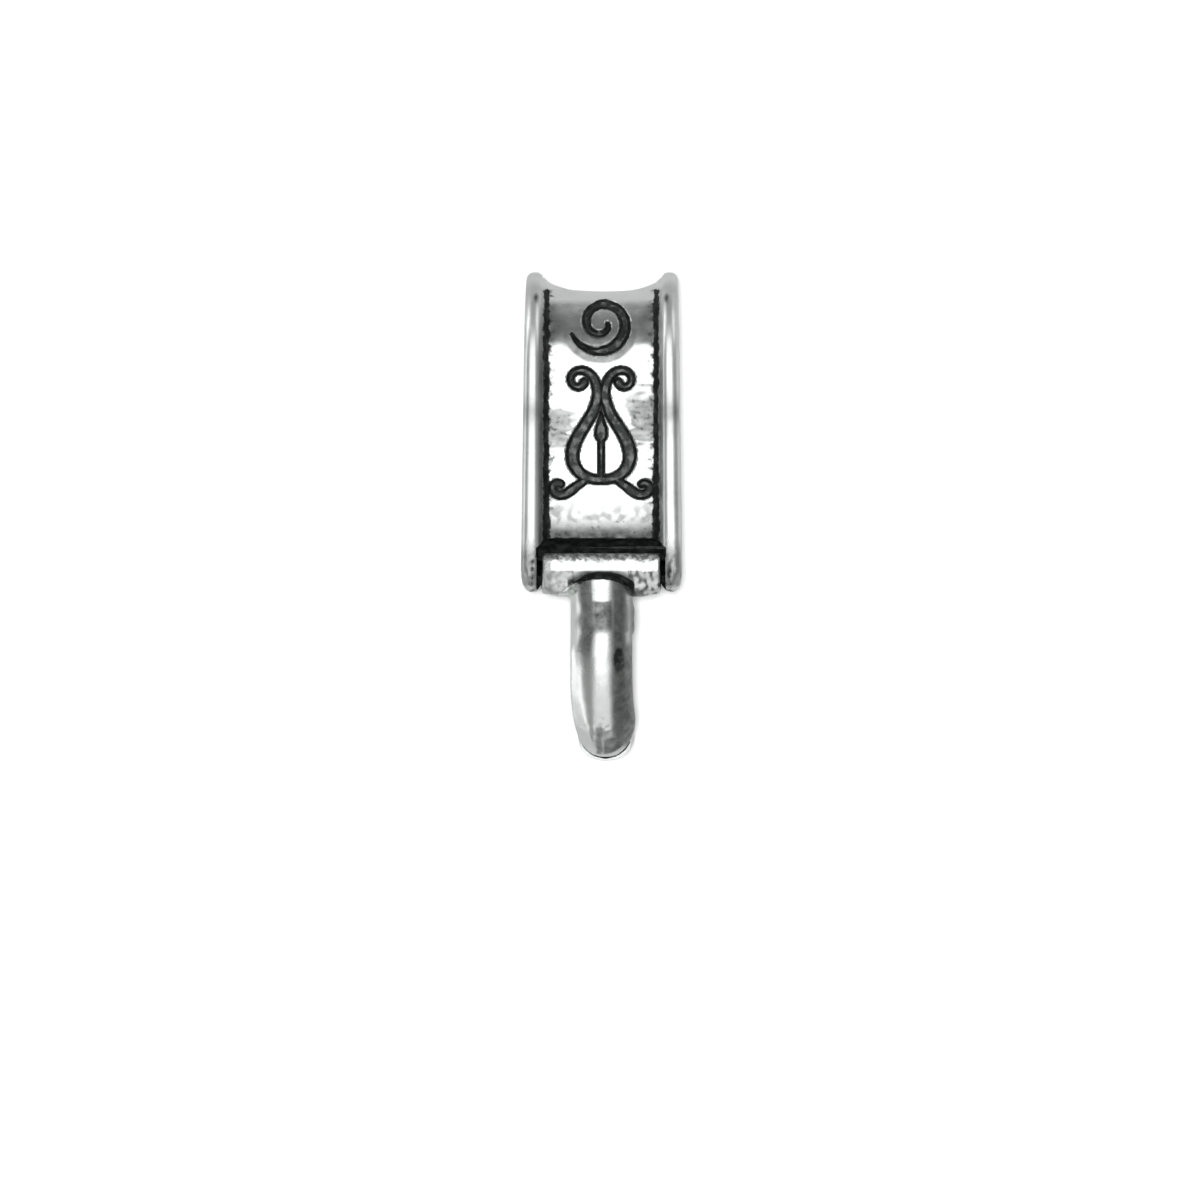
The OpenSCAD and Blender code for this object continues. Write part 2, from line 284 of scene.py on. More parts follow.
def bud():
    rows = [(0.1, 0.03), (0.44, 0.03), (0.48, 0.055), (0.5, 0.06), (0.54, 0.055), (0.72, 0.004)]
    return np.array([
        (0, RING_TOP - MOTIF_DROP + y * MOTIF_H, half * MOTIF_H) for y, half in rows
    ])


def stroke_distance(x, y, stroke):
    """Distance outside a stroke's edge, negative inside."""
    best = np.full(x.shape, 9.0)
    for a, b in zip(stroke[:-1], stroke[1:]):
        along = b[:2] - a[:2]
        t = np.clip(((x - a[0]) * along[0] + (y - a[1]) * along[1]) / (along @ along), 0, 1)
        gap = np.hypot(x - a[0] - t * along[0], y - a[1] - t * along[1])
        best = np.minimum(best, gap - (a[2] + t * (b[2] - a[2])))
    return best


lyre = scroll((-0.01, 0.1), 0, 1.56, LYRE_BENDS, LYRE_WIDTHS)
foot_curl = scroll((0.1, 0.12), -35, 0.5, FOOT_BENDS, FOOT_WIDTHS)
SPIRAL = volute()
BUD = bud()


def engraving_distance(x, y):
    best = np.minimum(stroke_distance(x, y, SPIRAL), stroke_distance(x, y, BUD))
    for stroke in (lyre, foot_curl):
        for side in (1, -1):
            best = np.minimum(best, stroke_distance(side * x, y, stroke))
    return best


# The ring

TOP_BACK_ROWS = 24
TOP_FRONT_ROWS = 90
FRONT_ROWS = 184
CORNER_ROWS = 10
FOOT_ROWS = 44
HEEL_ROWS = 16
BACK_ROWS = 24
FIELD_COLUMNS = 50
# A fade is the place where something starts and the place where it is full, and a band is its
# middle and its width
FOOT_TURN_FADE = (0, 0.8)
FRONT_TURN = 0.3
GROOVE_EDGE = 0.035
GROOVE_WALL = 0.1
FIELD_END_FALL = 0.2
FIELD_END_FADE = (0.35, -0.95)
SIDE_RISE = 0.19
SIDE_RISE_START = 0.9
SIDE_RISE_RUN = 1.1
SIDE_RISE_END = 2.27
TOP_TURN_FADE = (0.78, 1.0)
RING_WAVE = 0.01
RING_WAVE_SIZE = 2.2
RING_RIPPLE = 0.004
RING_RIPPLE_SIZE = 0.6
CREST_POWER = 2.8
CREST_EDGE = RIM_W / 2
FOOT_POWER = 2.1
FOOT_EDGE = 0.72
TAPER = 0.00467
FIELD_CORNER_X = 2.02


def even(points, count):
    """`count` points spaced evenly along a line of points, both ends kept."""
    points = np.array(points, dtype=float)
    run = np.concatenate([[0], np.cumsum(np.hypot(*np.diff(points, axis=0).T))])
    at = np.linspace(0, run[-1], count)
    return np.column_stack([np.interp(at, run, points[:, 0]), np.interp(at, run, points[:, 1])])


def dish(x):
    return WALL_T + DISH_R - np.sqrt(DISH_R ** 2 - x ** 2)


def half_section(crest_power, outer_edge):
    """The right half of the ring's section as (x, height over the inner face), from the middle
    of the inner face round the rim to the middle of the field. The rim's outer edge is rounded
    over the height `outer_edge`."""
    edge = 0.3
    crest_r = RIM_W / 2
    crest_x = RING_W / 2 - crest_r
    side_top = CREST_T - outer_edge
    turn = np.linspace(0, math.pi, 90)
    cos, sin = np.cos(turn), np.sin(turn)
    power = 2 / crest_power
    reach = np.where(cos > 0, outer_edge, crest_r)
    crest = np.column_stack([
        crest_x + crest_r * np.sign(cos) * np.abs(cos) ** power,
        CREST_T - reach * (1 - np.abs(sin) ** power),
    ])
    crest = crest[crest[:, 0] > crest_x - 0.87 * crest_r]
    corner = np.array([FIELD_CORNER_X, dish(FIELD_CORNER_X) + 0.02])
    breaks = np.linspace(0, math.pi / 2, 12)
    rounded = np.column_stack([
        RING_W / 2 - edge + edge * np.sin(breaks), edge - edge * np.cos(breaks),
    ])
    field_x = np.linspace(FIELD_CORNER_X - 0.03, 0, FIELD_COLUMNS)
    parts = [
        even([(0, 0), (RING_W / 2 - edge, 0)], 7)[:-1],
        even(rounded, 6)[:-1],
        even([(RING_W / 2, edge), (RING_W / 2, side_top)], 8)[:-1],
        even(crest, 16)[:-1],
        even([crest[-1], corner], 4),
        np.column_stack([field_x, dish(field_x)]),
    ]
    return np.vstack(parts)


def ring_stations(depth):
    """Y, Z and the outward direction's Y and Z of lines round the ring, `depth` inside it."""
    front_r = np.maximum(EAR_R - depth, INNER_R)
    heel_r = np.maximum(HEEL_R - depth, INNER_R)
    radius = RING_D / 2 - depth
    rows = []

    def add(y, z, out_y, out_z):
        one = np.ones_like(depth)
        rows.append((y * one, z * one, out_y * one, out_z * one))

    for t in np.linspace(math.pi, math.pi / 2, TOP_BACK_ROWS, endpoint=False):
        add(ARC_Y + radius * math.sin(t), MIDDLE_Z + radius * math.cos(t),
            math.sin(t), math.cos(t))
    for t in np.linspace(math.pi / 2, 0, TOP_FRONT_ROWS, endpoint=False):
        add(ARC_Y + radius * math.sin(t), MIDDLE_Z + radius * math.cos(t),
            math.sin(t), math.cos(t))
    low_y = FOOT_Y + depth + front_r
    for t in np.linspace(0, 1, FRONT_ROWS, endpoint=False):
        add(ARC_Y + t * (low_y - ARC_Y), FRONT_Z - depth, 0, 1)
    for t in np.linspace(0, math.pi / 2, CORNER_ROWS, endpoint=False):
        add(low_y - front_r * math.sin(t), FRONT_Z - depth - front_r * (1 - math.cos(t)),
            -math.sin(t), math.cos(t))
    front_end = FRONT_Z - depth - front_r
    back_end = BACK_Z + depth + heel_r
    for t in np.linspace(0, 1, FOOT_ROWS, endpoint=False):
        add(FOOT_Y + depth, front_end + t * (back_end - front_end), -1, 0)
    heel_y = FOOT_Y + depth + heel_r
    for t in np.linspace(0, math.pi / 2, HEEL_ROWS, endpoint=False):
        add(heel_y - heel_r * math.cos(t), back_end - heel_r * math.sin(t),
            -math.cos(t), -math.sin(t))
    for t in np.linspace(0, 1, BACK_ROWS, endpoint=False):
        add(heel_y + t * (ARC_Y - heel_y), BACK_Z + depth, 0, -1)
    return [np.array(part) for part in zip(*rows)]


def taper(x, y):
    """The share by which the rims lean in at `y`. The field keeps its width."""
    return TAPER * (y - FOOT_Y) * smoothstep(FIELD_CORNER_X - 0.1, RING_W / 2 - 0.1, np.abs(x))


def full_section(crest_power, outer_edge):
    half = half_section(crest_power, outer_edge)
    return np.vstack([half, half[-2:0:-1] * [-1, 1]])


def ring_blank():
    section = full_section(CREST_POWER, CREST_EDGE)
    foot_section = full_section(FOOT_POWER, FOOT_EDGE)
    y, z, out_y, out_z = ring_stations(CREST_T - section[:, 1])
    foot_y, foot_z, _, _ = ring_stations(CREST_T - foot_section[:, 1])
    rows, columns = y.shape
    at_foot = smoothstep(*FOOT_TURN_FADE, -out_y)
    y = y + at_foot * (foot_y - y)
    z = z + at_foot * (foot_z - z)
    x = section[:, 0] + at_foot * (foot_section[:, 0] - section[:, 0])
    x = x * (1 - taper(x, y))
    field = np.tile(np.abs(section[:, 0]) < FIELD_CORNER_X, (rows, 1))
    field &= np.tile(section[:, 1] > WALL_T / 2, (rows, 1))
    front = field & (out_z > FRONT_TURN)

    lift = np.zeros((rows, columns))
    gap = engraving_distance(x[front], y[front])
    lift[front] -= GROOVE_DEPTH * smoothstep(GROOVE_EDGE, GROOVE_EDGE - GROOVE_WALL, gap)
    lift[front] -= FIELD_END_FALL * smoothstep(*FIELD_END_FADE, y[front]) ** 3
    off_middle = np.abs(section[:, 0])
    side_rise = SIDE_RISE * np.clip((off_middle - SIDE_RISE_START) / SIDE_RISE_RUN, 0, 1) ** 2
    side_rise *= smoothstep(SIDE_RISE_END, FIELD_CORNER_X, off_middle)
    side_rise *= section[:, 1] > WALL_T / 2
    lift += side_rise * smoothstep(*TOP_TURN_FADE, out_y)

    flat = np.stack([x, y, z], axis=-1).reshape(-1, 3)
    waves = RING_WAVE * wobble(flat, RING_WAVE_SIZE, 1)
    waves += RING_RIPPLE * wobble(flat, RING_RIPPLE_SIZE, 2)
    lift += waves.reshape(rows, columns)
    y = y + lift * out_y
    z = np.maximum(z + lift * out_z, 0)
    points = np.stack([x, y, z], axis=-1).reshape(-1, 3)
    ring = make_object("ring", points, grid_faces(rows, columns, True))
    face_outwards(ring)
    return ring


# The tongue and the back arm

TONGUE_ROWS = [
    (0.0, 1.1, 0.98, 0), (0.07, 1.06, 0.98, 0), (0.12, 1.0, 0.98, 0), (0.16, 0.965, 0.98, 0.008),
    (0.22, 0.955, 1, 0.02), (0.33, 0.955, 1, 0.06),
    (0.44, 0.965, 1, 0.12), (0.54, 0.97, 0.99, 0.21), (0.64, 0.97, 0.97, 0.33),
    (0.72, 0.96, 0.94, 0.45), (0.79, 0.945, 0.9, 0.57), (0.85, 0.89, 0.84, 0.69),
    (0.9, 0.8, 0.76, 0.79), (0.94, 0.67, 0.66, 0.87), (0.97, 0.5, 0.52, 0.93),
    (0.99, 0.3, 0.34, 0.975), (0.998, 0.14, 0.16, 0.995), (1, 0.02, 0.03, 1),
]
TONGUE_SIDES = 80
FRONT_SHARE = 0.64
# The flat filed on the tongue's left shoulder, in shares of its half width and of its front's
# height: it starts nearer the middle towards the tip
SHOULDER_STARTS = [(-8.4, 0.5), (-7.6, 0.56), (-6.6, 0.68), (-5.6, 0.78), (-4.6, 0.88)]
SHOULDER_END = 0.965
SHOULDER_SLOPE = 1.02
FILED_FADE = (-4.1, -5.1)
ASIDE = 0.13
ASIDE_FADE = (-6.2, -8.4)
WAVE_SIZE = 1.3
RIPPLE_SIZE = 0.4
BULGE = 0.09
BULGE_SIDE_FADE = (0.4, 1.1)
ROOT_BULGE_LOW_FADE = (-4.45, -4.2)
ROOT_BULGE_HIGH_FADE = (-3.0, -3.5)
TIP_BULGE_SHARE = 0.6
TIP_BULGE_BAND = (-7.6, 0.5)
TONGUE_SKIN_ROWS = 170
SEAT_SKIN_ROWS = 120


def sideways(y):
    """How far the hand-set ends have been pushed aside."""
    return ASIDE * smoothstep(*ASIDE_FADE, y)


def roughen(obj, large, small, seed):
    """Moves a hand-finished surface in and out a little."""
    flat = points_of(obj)
    lift = large * wobble(flat, WAVE_SIZE, seed) + small * wobble(flat, RIPPLE_SIZE, seed + 1)
    set_points(obj, flat + lift[:, None] * normals_of(obj))


def even_turn(sides):
    return np.linspace(0, 2 * math.pi, sides, endpoint=False)


def filed_heights(turn, y):
    """The tongue's unit sections at each `y`: circles with a flat on the left shoulder."""
    round_height = np.tile(np.sin(turn), (len(y), 1))
    across = np.tile(np.abs(np.cos(turn)), (len(y), 1))
    starts = np.array(SHOULDER_STARTS)
    start = np.interp(y, starts[:, 0], starts[:, 1])[:, None]
    top = np.sqrt(1 - start ** 2)
    flat = top - SHOULDER_SLOPE * (np.minimum(across, SHOULDER_END) - start)
    past = np.clip((across - SHOULDER_END) / (1 - SHOULDER_END), 0, 1)
    filed = np.where(across < start, round_height, flat * np.sqrt(1 - past ** 2))
    return np.where((np.cos(turn) < 0) & (round_height > 0), filed, round_height)


def bar(name, line, half_w, front_t, back_t, heights):
    """A bar along a line of (y, z), with its half width, its reach to the front and back, and the
    heights of its unit section, row by row."""
    step = np.gradient(line, axis=0)
    step /= np.hypot(step[:, 0], step[:, 1])[:, None]
    out = np.column_stack([step[:, 1], -step[:, 0]])
    turn = even_turn(heights.shape[1])
    reach = np.where(heights > 0, front_t[:, None], back_t[:, None]) * heights
    rings = np.empty((*heights.shape, 3))
    rings[:, :, 0] = half_w[:, None] * np.cos(turn)[None, :] + sideways(line[:, 0])[:, None]
    rings[:, :, 1] = line[:, 0, None] + reach * out[:, 0, None]
    rings[:, :, 2] = line[:, 1, None] + reach * out[:, 1, None]
    obj = tube(name, rings)
    face_outwards(obj)
    return obj


def tongue_mesh(name, grow, rows):
    share, values = smooth_rows(TONGUE_ROWS, rows)
    width, thick, hook = values.T
    half_w = width * TONGUE_W / 2 + grow
    half_t = thick * TONGUE_T / 2
    shift = (2 * FRONT_SHARE - 1) * half_t
    line = np.column_stack([
        PIN_Y - (TONGUE_LEN + grow) * share, TONGUE_Z - TONGUE_HOOK * hook - shift,
    ])
    turn = even_turn(TONGUE_SIDES)
    filed_share = smoothstep(*FILED_FADE, line[:, 0])[:, None]
    heights = np.sin(turn) + filed_share * (filed_heights(turn, line[:, 0]) - np.sin(turn))
    skin = bar(name, line, half_w, half_t + shift + grow, half_t - shift + grow, heights)
    p = points_of(skin)
    x, y, _ = p.T
    bulge = smoothstep(*ROOT_BULGE_LOW_FADE, y) * smoothstep(*ROOT_BULGE_HIGH_FADE, y)
    bulge += TIP_BULGE_SHARE * bell(y, *TIP_BULGE_BAND)
    p[:, 0] += BULGE * bulge * smoothstep(*BULGE_SIDE_FADE, x)
    set_points(skin, p)
    return skin


ARM_SIDES = 56
ARM_ROWS = 150
ARM_FLARE = 0.28
ARM_FLARE_LENGTH = 0.16
PAST_SEAT = 0.3
ARM_SHARES = [0.95, 0.98, 0.98, 0.86, 0.9, 0.94, 0.95, 0.92, 0.87, 0.83, 0.82]


def arm_mesh():
    bend_y = END_Y + ARM_T / 2 + ARM_BEND_R
    bend_z = ARM_LOW_Z + ARM_BEND_R
    neck_y = FOOT_Y - ARM_T / 2
    points = [
        (FOOT_Y + RIM_RISE + WALL_T / 2, ARM_ROOT_Z), (FOOT_Y + RIM_RISE / 2, ARM_ROOT_Z),
        (neck_y, (ARM_ROOT_Z + ARM_LOW_Z) / 2), (bend_y, ARM_LOW_Z),
    ]
    for turn in np.radians(np.arange(15, 91, 15)):
        points.append((bend_y - ARM_BEND_R * math.sin(turn), bend_z - ARM_BEND_R * math.cos(turn)))
    points.append((bend_y - ARM_BEND_R, TIP_Z + PAST_SEAT))
    points = np.array(points)
    run = np.concatenate([[0], np.cumsum(np.hypot(*np.diff(points, axis=0).T))])
    _, values = smooth_rows(np.column_stack([run, points, ARM_SHARES]), ARM_ROWS)
    line = values[:, :2]
    off_foot = np.clip(FOOT_Y + RIM_RISE - line[:, 0], 0, None)
    flare = ARM_FLARE * np.exp(-off_foot / ARM_FLARE_LENGTH)
    half_w = values[:, 2] * ARM_W / 2 + flare
    half_t = np.full(len(line), ARM_T / 2) + flare
    heights = np.tile(np.sin(even_turn(ARM_SIDES)), (len(line), 1))
    return bar("arm", line, half_w, half_t, half_t, heights)


def parting_block():
    """All that lies ahead of the plane through the hinge's axis and the tongue's tip."""
    lean = math.atan2(PIN_Z - TIP_Z, TONGUE_LEN)
    size = 20.0
    corners = np.array([(x, y, z) for x in (-1, 1) for y in (-2, 0) for z in (0, 2)]) * size / 2
    turn = np.array([
        (1, 0, 0), (0, math.cos(lean), -math.sin(lean)), (0, math.sin(lean), math.cos(lean)),
    ])
    corners = (corners - [0, 0, SEAT_GAP]) @ turn.T + [0, PIN_Y, PIN_Z]
    faces = [(0, 1, 3, 2), (4, 6, 7, 5), (0, 4, 5, 1), (2, 3, 7, 6), (0, 2, 6, 4), (1, 5, 7, 3)]
    block = make_object("block", corners, faces)
    face_outwards(block)
    return block


# The knuckle

CREASE_Y = -2.2
CREASE_BEND = 0.28
CREASE_HALF = 0.11
CREASE_DEPTH = 0.07
CREASE_SIDE_FADE = (1.25, 1.0)
CREASE_BACK = 0.3
SINK = 0.25
SINK_FADE = (0.02, -0.05)
SINK_SIDE_FADE = (1.27, 1.1)
LEFT_FACET_X = -1.8
LEFT_FACET_SLOPE = 0.2
LEFT_FACET_FADE = (0.1, 0.5)
SAG = 0.05
MIDDLE_SAG = 0.1
SAG_FADE = (-0.35, -0.8)
MIDDLE_SAG_FADE = (2.1, 1.4)
BORE_GAP = 0.04
HOLE_GAP = 0.01
THROUGH = 4
POCKET_SIDES = 160
HAMMERED_FADE = (-7.5, -7.9)
HAMMER_NOISE = 0.02
DENT = 0.05
DENT_X_BAND = (0.28, 0.3)
DENT_Y_BAND = (-8.3, 0.26)
LINE_DENT = 0.03
LINE_DENT_BAND = (-0.08, 0.1)
KNOCK = 0.03
KNOCK_X_BAND = (-0.5, 0.12)
KNOCK_Y_BAND = (-4.2, 0.12)


def knuckle_section(count):
    """The knuckle's outline as (z, y) about the pin: a flat front, a broad soft edge, a flat top
    and a barrel."""
    soft = 0.32
    front_low = -0.08
    facet_fall = 0.43
    facet_end = 0.58
    middle = KNUCKLE_FRONT - KNUCKLE_R
    edge = np.linspace(0, math.pi / 2, 16)
    front = [(KNUCKLE_FRONT, front_low), (KNUCKLE_FRONT, KNUCKLE_RISE - soft)]
    rounded = np.column_stack([
        KNUCKLE_FRONT - soft + soft * np.cos(edge), KNUCKLE_RISE - soft + soft * np.sin(edge),
    ])
    back_turn = math.pi - math.asin(KNUCKLE_RISE / KNUCKLE_R)
    barrel = np.linspace(back_turn + 0.1, 1.5 * math.pi, 50)
    round_back = np.column_stack([
        middle + KNUCKLE_R * np.cos(barrel), KNUCKLE_R * np.sin(barrel),
    ])
    top_end = (middle + KNUCKLE_R * math.cos(back_turn) + 0.12, KNUCKLE_RISE)
    low = np.array([middle, -KNUCKLE_R])
    corner = np.array([KNUCKLE_FRONT - facet_fall * (KNUCKLE_R + front_low), -KNUCKLE_R])
    facet = np.array([KNUCKLE_FRONT - facet_fall * (facet_end + front_low), -facet_end])
    t = np.linspace(0, 1, 14)[1:, None]
    round_low = (1 - t) ** 2 * low + 2 * t * (1 - t) * corner + t ** 2 * facet
    loop = np.vstack([front, rounded, [top_end], round_back, round_low, front[:1]])
    return even(loop, count + 1)[:-1]


def knuckle_mesh():
    section = knuckle_section(132)
    step = np.roll(section, -1, axis=0) - np.roll(section, 1, axis=0)
    inward = np.column_stack([-step[:, 1], step[:, 0]]) / np.hypot(*step.T)[:, None]
    ease = 0.12
    x = np.concatenate([
        -KNUCKLE_HALF + ease * (1 - np.cos(np.linspace(0, math.pi / 2, 6))),
        np.linspace(-KNUCKLE_HALF + ease, KNUCKLE_HALF - ease, 82)[1:-1],
        KNUCKLE_HALF - ease * (1 - np.cos(np.linspace(math.pi / 2, 0, 6))),
    ])
    past = np.clip((np.abs(x) - (KNUCKLE_HALF - ease)) / ease, 0, 1)
    inset = ease * (1 - np.sqrt(1 - past ** 2))
    rings = np.empty((len(x), len(section), 3))
    rings[:, :, 0] = x[:, None]
    rings[:, :, 1] = PIN_Y + section[None, :, 1] + inset[:, None] * inward[None, :, 1]
    rings[:, :, 2] = PIN_Z + section[None, :, 0] + inset[:, None] * inward[None, :, 0]
    knuckle = tube("knuckle", rings)
    face_outwards(knuckle)
    return knuckle


def crease(x):
    return CREASE_Y - CREASE_BEND * x ** 2


def tongue_front(x, y):
    """Height of the tongue's front near its root."""
    share = (PIN_Y - y) / TONGUE_LEN
    rows = np.array(TONGUE_ROWS)
    half_w = np.interp(share, rows[:, 0], rows[:, 1]) * TONGUE_W / 2
    half_t = np.interp(share, rows[:, 0], rows[:, 2]) * TONGUE_T / 2
    front_t = 2 * FRONT_SHARE * half_t
    inside = np.clip(1 - (x / half_w) ** 2, 0, 1)
    return TONGUE_Z + half_t - front_t + front_t * np.sqrt(inside)


def dent_tip(tongue):
    """Hammered flats on the tip, and a knock on the left side."""
    p = points_of(tongue)
    x, y, z = p.T
    hammered = smoothstep(*HAMMERED_FADE, y) * (z > TIP_Z)
    dent = DENT * bell(x, *DENT_X_BAND) * bell(y, *DENT_Y_BAND)
    dent += LINE_DENT * bell(x, *LINE_DENT_BAND)
    knock = KNOCK * bell(x, *KNOCK_X_BAND) * bell(y, *KNOCK_Y_BAND)
    p[:, 2] -= hammered * (dent + HAMMER_NOISE * wobble(p, 0.28, 41)) + knock * (z > TIP_Z)
    set_points(tongue, p)


def gate_mesh():
    knuckle = knuckle_mesh()
    roughen(knuckle, large=0.007, small=0.003, seed=15)
    p = points_of(knuckle)
    x, y, z = p.T
    below = smoothstep(*SINK_FADE, y - crease(x)) * smoothstep(*SINK_SIDE_FADE, np.abs(x))
    front = z > PIN_Z
    sunk = np.clip(tongue_front(x, y) - SINK, PIN_Z, z)
    z = np.where(front, z + below * (sunk - z), z)
    past_facet = np.clip(LEFT_FACET_X - x, 0, None)
    z = z - past_facet * LEFT_FACET_SLOPE * smoothstep(*LEFT_FACET_FADE, z - PIN_Z)
    low = smoothstep(*SAG_FADE, y - PIN_Y)
    y = y - low * (SAG + MIDDLE_SAG * smoothstep(*MIDDLE_SAG_FADE, np.abs(x)))
    set_points(knuckle, np.column_stack([x, y, z]))
    tongue = tongue_mesh("tongue", 0, TONGUE_SKIN_ROWS)
    dent_tip(tongue)
    roughen(tongue, large=0.014, small=0.005, seed=5)
    combine(knuckle, tongue, "UNION")
    combine(knuckle, cylinder("bore", PIN_R + BORE_GAP, THROUGH), "DIFFERENCE")
    drop_slivers(knuckle)
    p = points_of(knuckle)
    x, y, z = p.T
    groove = CREASE_DEPTH * bell(y - crease(x), 0, CREASE_HALF)
    groove *= smoothstep(*CREASE_SIDE_FADE, np.abs(x))
    p[:, 2] -= groove * (z > PIN_Z + CREASE_BACK)
    set_points(knuckle, p)
    knuckle.name = "gate_cast"
    return knuckle


# Materials

class Graph:
    """Short calls for wiring a node tree."""

    def __init__(self, owner):
        owner.use_nodes = True
        self.tree = owner.node_tree
        self.tree.nodes.clear()

    def add(self, kind, **settings):
        made = self.tree.nodes.new(kind)
        for key, value in settings.items():
            setattr(made, key, value)
        return made

    def link(self, source, target):
        if isinstance(source, (int, float, tuple)):
            target.default_value = source
        else:
            self.tree.links.new(source, target)

    def place(self):
        """The point being shaded, in mm."""
        made = self.add("ShaderNodeVectorMath", operation="SCALE")
        self.link(self.add("ShaderNodeTexCoord").outputs["Object"], made.inputs[0])
        self.link(1 / MM, made.inputs["Scale"])
        return made.outputs[0]

    def attribute(self, name):
        return self.add("ShaderNodeAttribute", attribute_name=name).outputs["Fac"]

    def math(self, operation, a, b=0.0, clamp=False):
        made = self.add("ShaderNodeMath", operation=operation, use_clamp=clamp)
        self.link(a, made.inputs[0])
        self.link(b, made.inputs[1])
        return made.outputs[0]

    def noise(self, scale, detail, rough, stretch=None):
        where = self.place()
        if stretch:
            squash = self.add("ShaderNodeVectorMath", operation="MULTIPLY")
            self.link(where, squash.inputs[0])
            self.link(stretch, squash.inputs[1])
            where = squash.outputs[0]
        made = self.add("ShaderNodeTexNoise")
        self.link(where, made.inputs["Vector"])
        self.link(scale, made.inputs["Scale"])
        self.link(detail, made.inputs["Detail"])
        self.link(rough, made.inputs["Roughness"])
        return made.outputs["Fac"]

    def cells(self, scale):
        made = self.add("ShaderNodeTexVoronoi")
        self.link(self.place(), made.inputs["Vector"])
        self.link(scale, made.inputs["Scale"])
        return made.outputs["Distance"]

    def round_the_pin(self, far, near):
        """1 at the pin and up to `near` mm from it, 0 past `far`."""
        off = self.add("ShaderNodeVectorMath", operation="SUBTRACT")
        self.link(self.place(), off.inputs[0])
        self.link((0, PIN_Y, PIN_Z), off.inputs[1])
        flat = self.add("ShaderNodeVectorMath", operation="MULTIPLY")
        self.link(off.outputs[0], flat.inputs[0])
        self.link((0, 1, 1), flat.inputs[1])
        length = self.add("ShaderNodeVectorMath", operation="LENGTH")
        self.link(flat.outputs[0], length.inputs[0])
        return self.ramp(length.outputs["Value"], PIN_R + far, PIN_R + near)

    def ramp(self, value, low, high):
        """0 at `low` and 1 at `high`, smooth between."""
        made = self.add("ShaderNodeMapRange", interpolation_type="SMOOTHSTEP")
        self.link(value, made.inputs["Value"])
        self.link(low, made.inputs["From Min"])
        self.link(high, made.inputs["From Max"])
        return made.outputs["Result"]

    def mix(self, share, a, b):
        made = self.add("ShaderNodeMix", data_type="RGBA")
        self.link(share, made.inputs["Factor"])
        self.link(a, made.inputs[6])
        self.link(b, made.inputs[7])
        return made.outputs[2]

    def blend(self, share, a, b):
        made = self.add("ShaderNodeMix", data_type="FLOAT")
        self.link(share, made.inputs["Factor"])
        self.link(a, made.inputs[2])
        self.link(b, made.inputs[3])
        return made.outputs[0]

    def metal(self, colour, rough, height, bump_strength):
        """Wires up a metal whose surface rises with `height`, and gives back its shader."""
        bump = self.add("ShaderNodeBump")
        self.link(bump_strength, bump.inputs["Strength"])
        self.link(BUMP_DISTANCE, bump.inputs["Distance"])
        self.link(height, bump.inputs["Height"])
        shader = self.add("ShaderNodeBsdfPrincipled")
        self.link(colour, shader.inputs["Base Color"])
        self.link(rough, shader.inputs["Roughness"])
        self.link(bump.outputs["Normal"], shader.inputs["Normal"])
        self.link(shader.outputs[0], self.add("ShaderNodeOutputMaterial").inputs["Surface"])
        return shader

    def by_ray(self, kind, plain, special, ray, output):
        """Wires up two shaders of one kind: `plain`, and `special` for the rays named."""
        mix = self.add("ShaderNodeMixShader")
        self.link(self.add("ShaderNodeLightPath").outputs[ray], mix.inputs[0])
        for colour, socket in ((plain, mix.inputs[1]), (special, mix.inputs[2])):
            shader = self.add(kind)
            self.link(colour, shader.inputs["Color"])
            self.link(shader.outputs[0], socket)
        self.link(mix.outputs[0], self.add(output).inputs["Surface"])


SILVER = (0.82, 0.84, 0.83, 1)
GREY = (0.25, 0.265, 0.26, 1)
# The next colour darkens real stains and also painted shade and painted dark reflections
STAIN_AND_SHADE = (0.045, 0.05, 0.048, 1)
# The black colours serve oxide in the engraving and corners, and painted shade in the pocket, the
# trench and the crease
OXIDE_AND_SHADE = (0.006, 0.007, 0.0065, 1)
WORN_OXIDE_AND_SHADE = (0.03, 0.032, 0.031, 1)
FILM = (0.68, 0.7, 0.69, 1)
POLISHED_ROUGH = 0.17
WORN_ROUGH = 0.24
SATIN_ROUGH = 0.36
DULL_ROUGH = 0.38
STAIN_AND_SHADE_ROUGH = 0.42
CAST_ROUGH = 0.42
OXIDE_AND_SHADE_ROUGH = 0.7
OXIDE_AND_SHADE_METALLIC = 0.15
BUMP_DISTANCE = 0.02 * MM
SCRATCH_HEIGHT = 0.25
GRAIN_HEIGHT = 0.12
CAST_HEIGHT = 4.0
PIT_DEPTH = 1.5
WIRE_END_FADE = (2.7, 2.5)


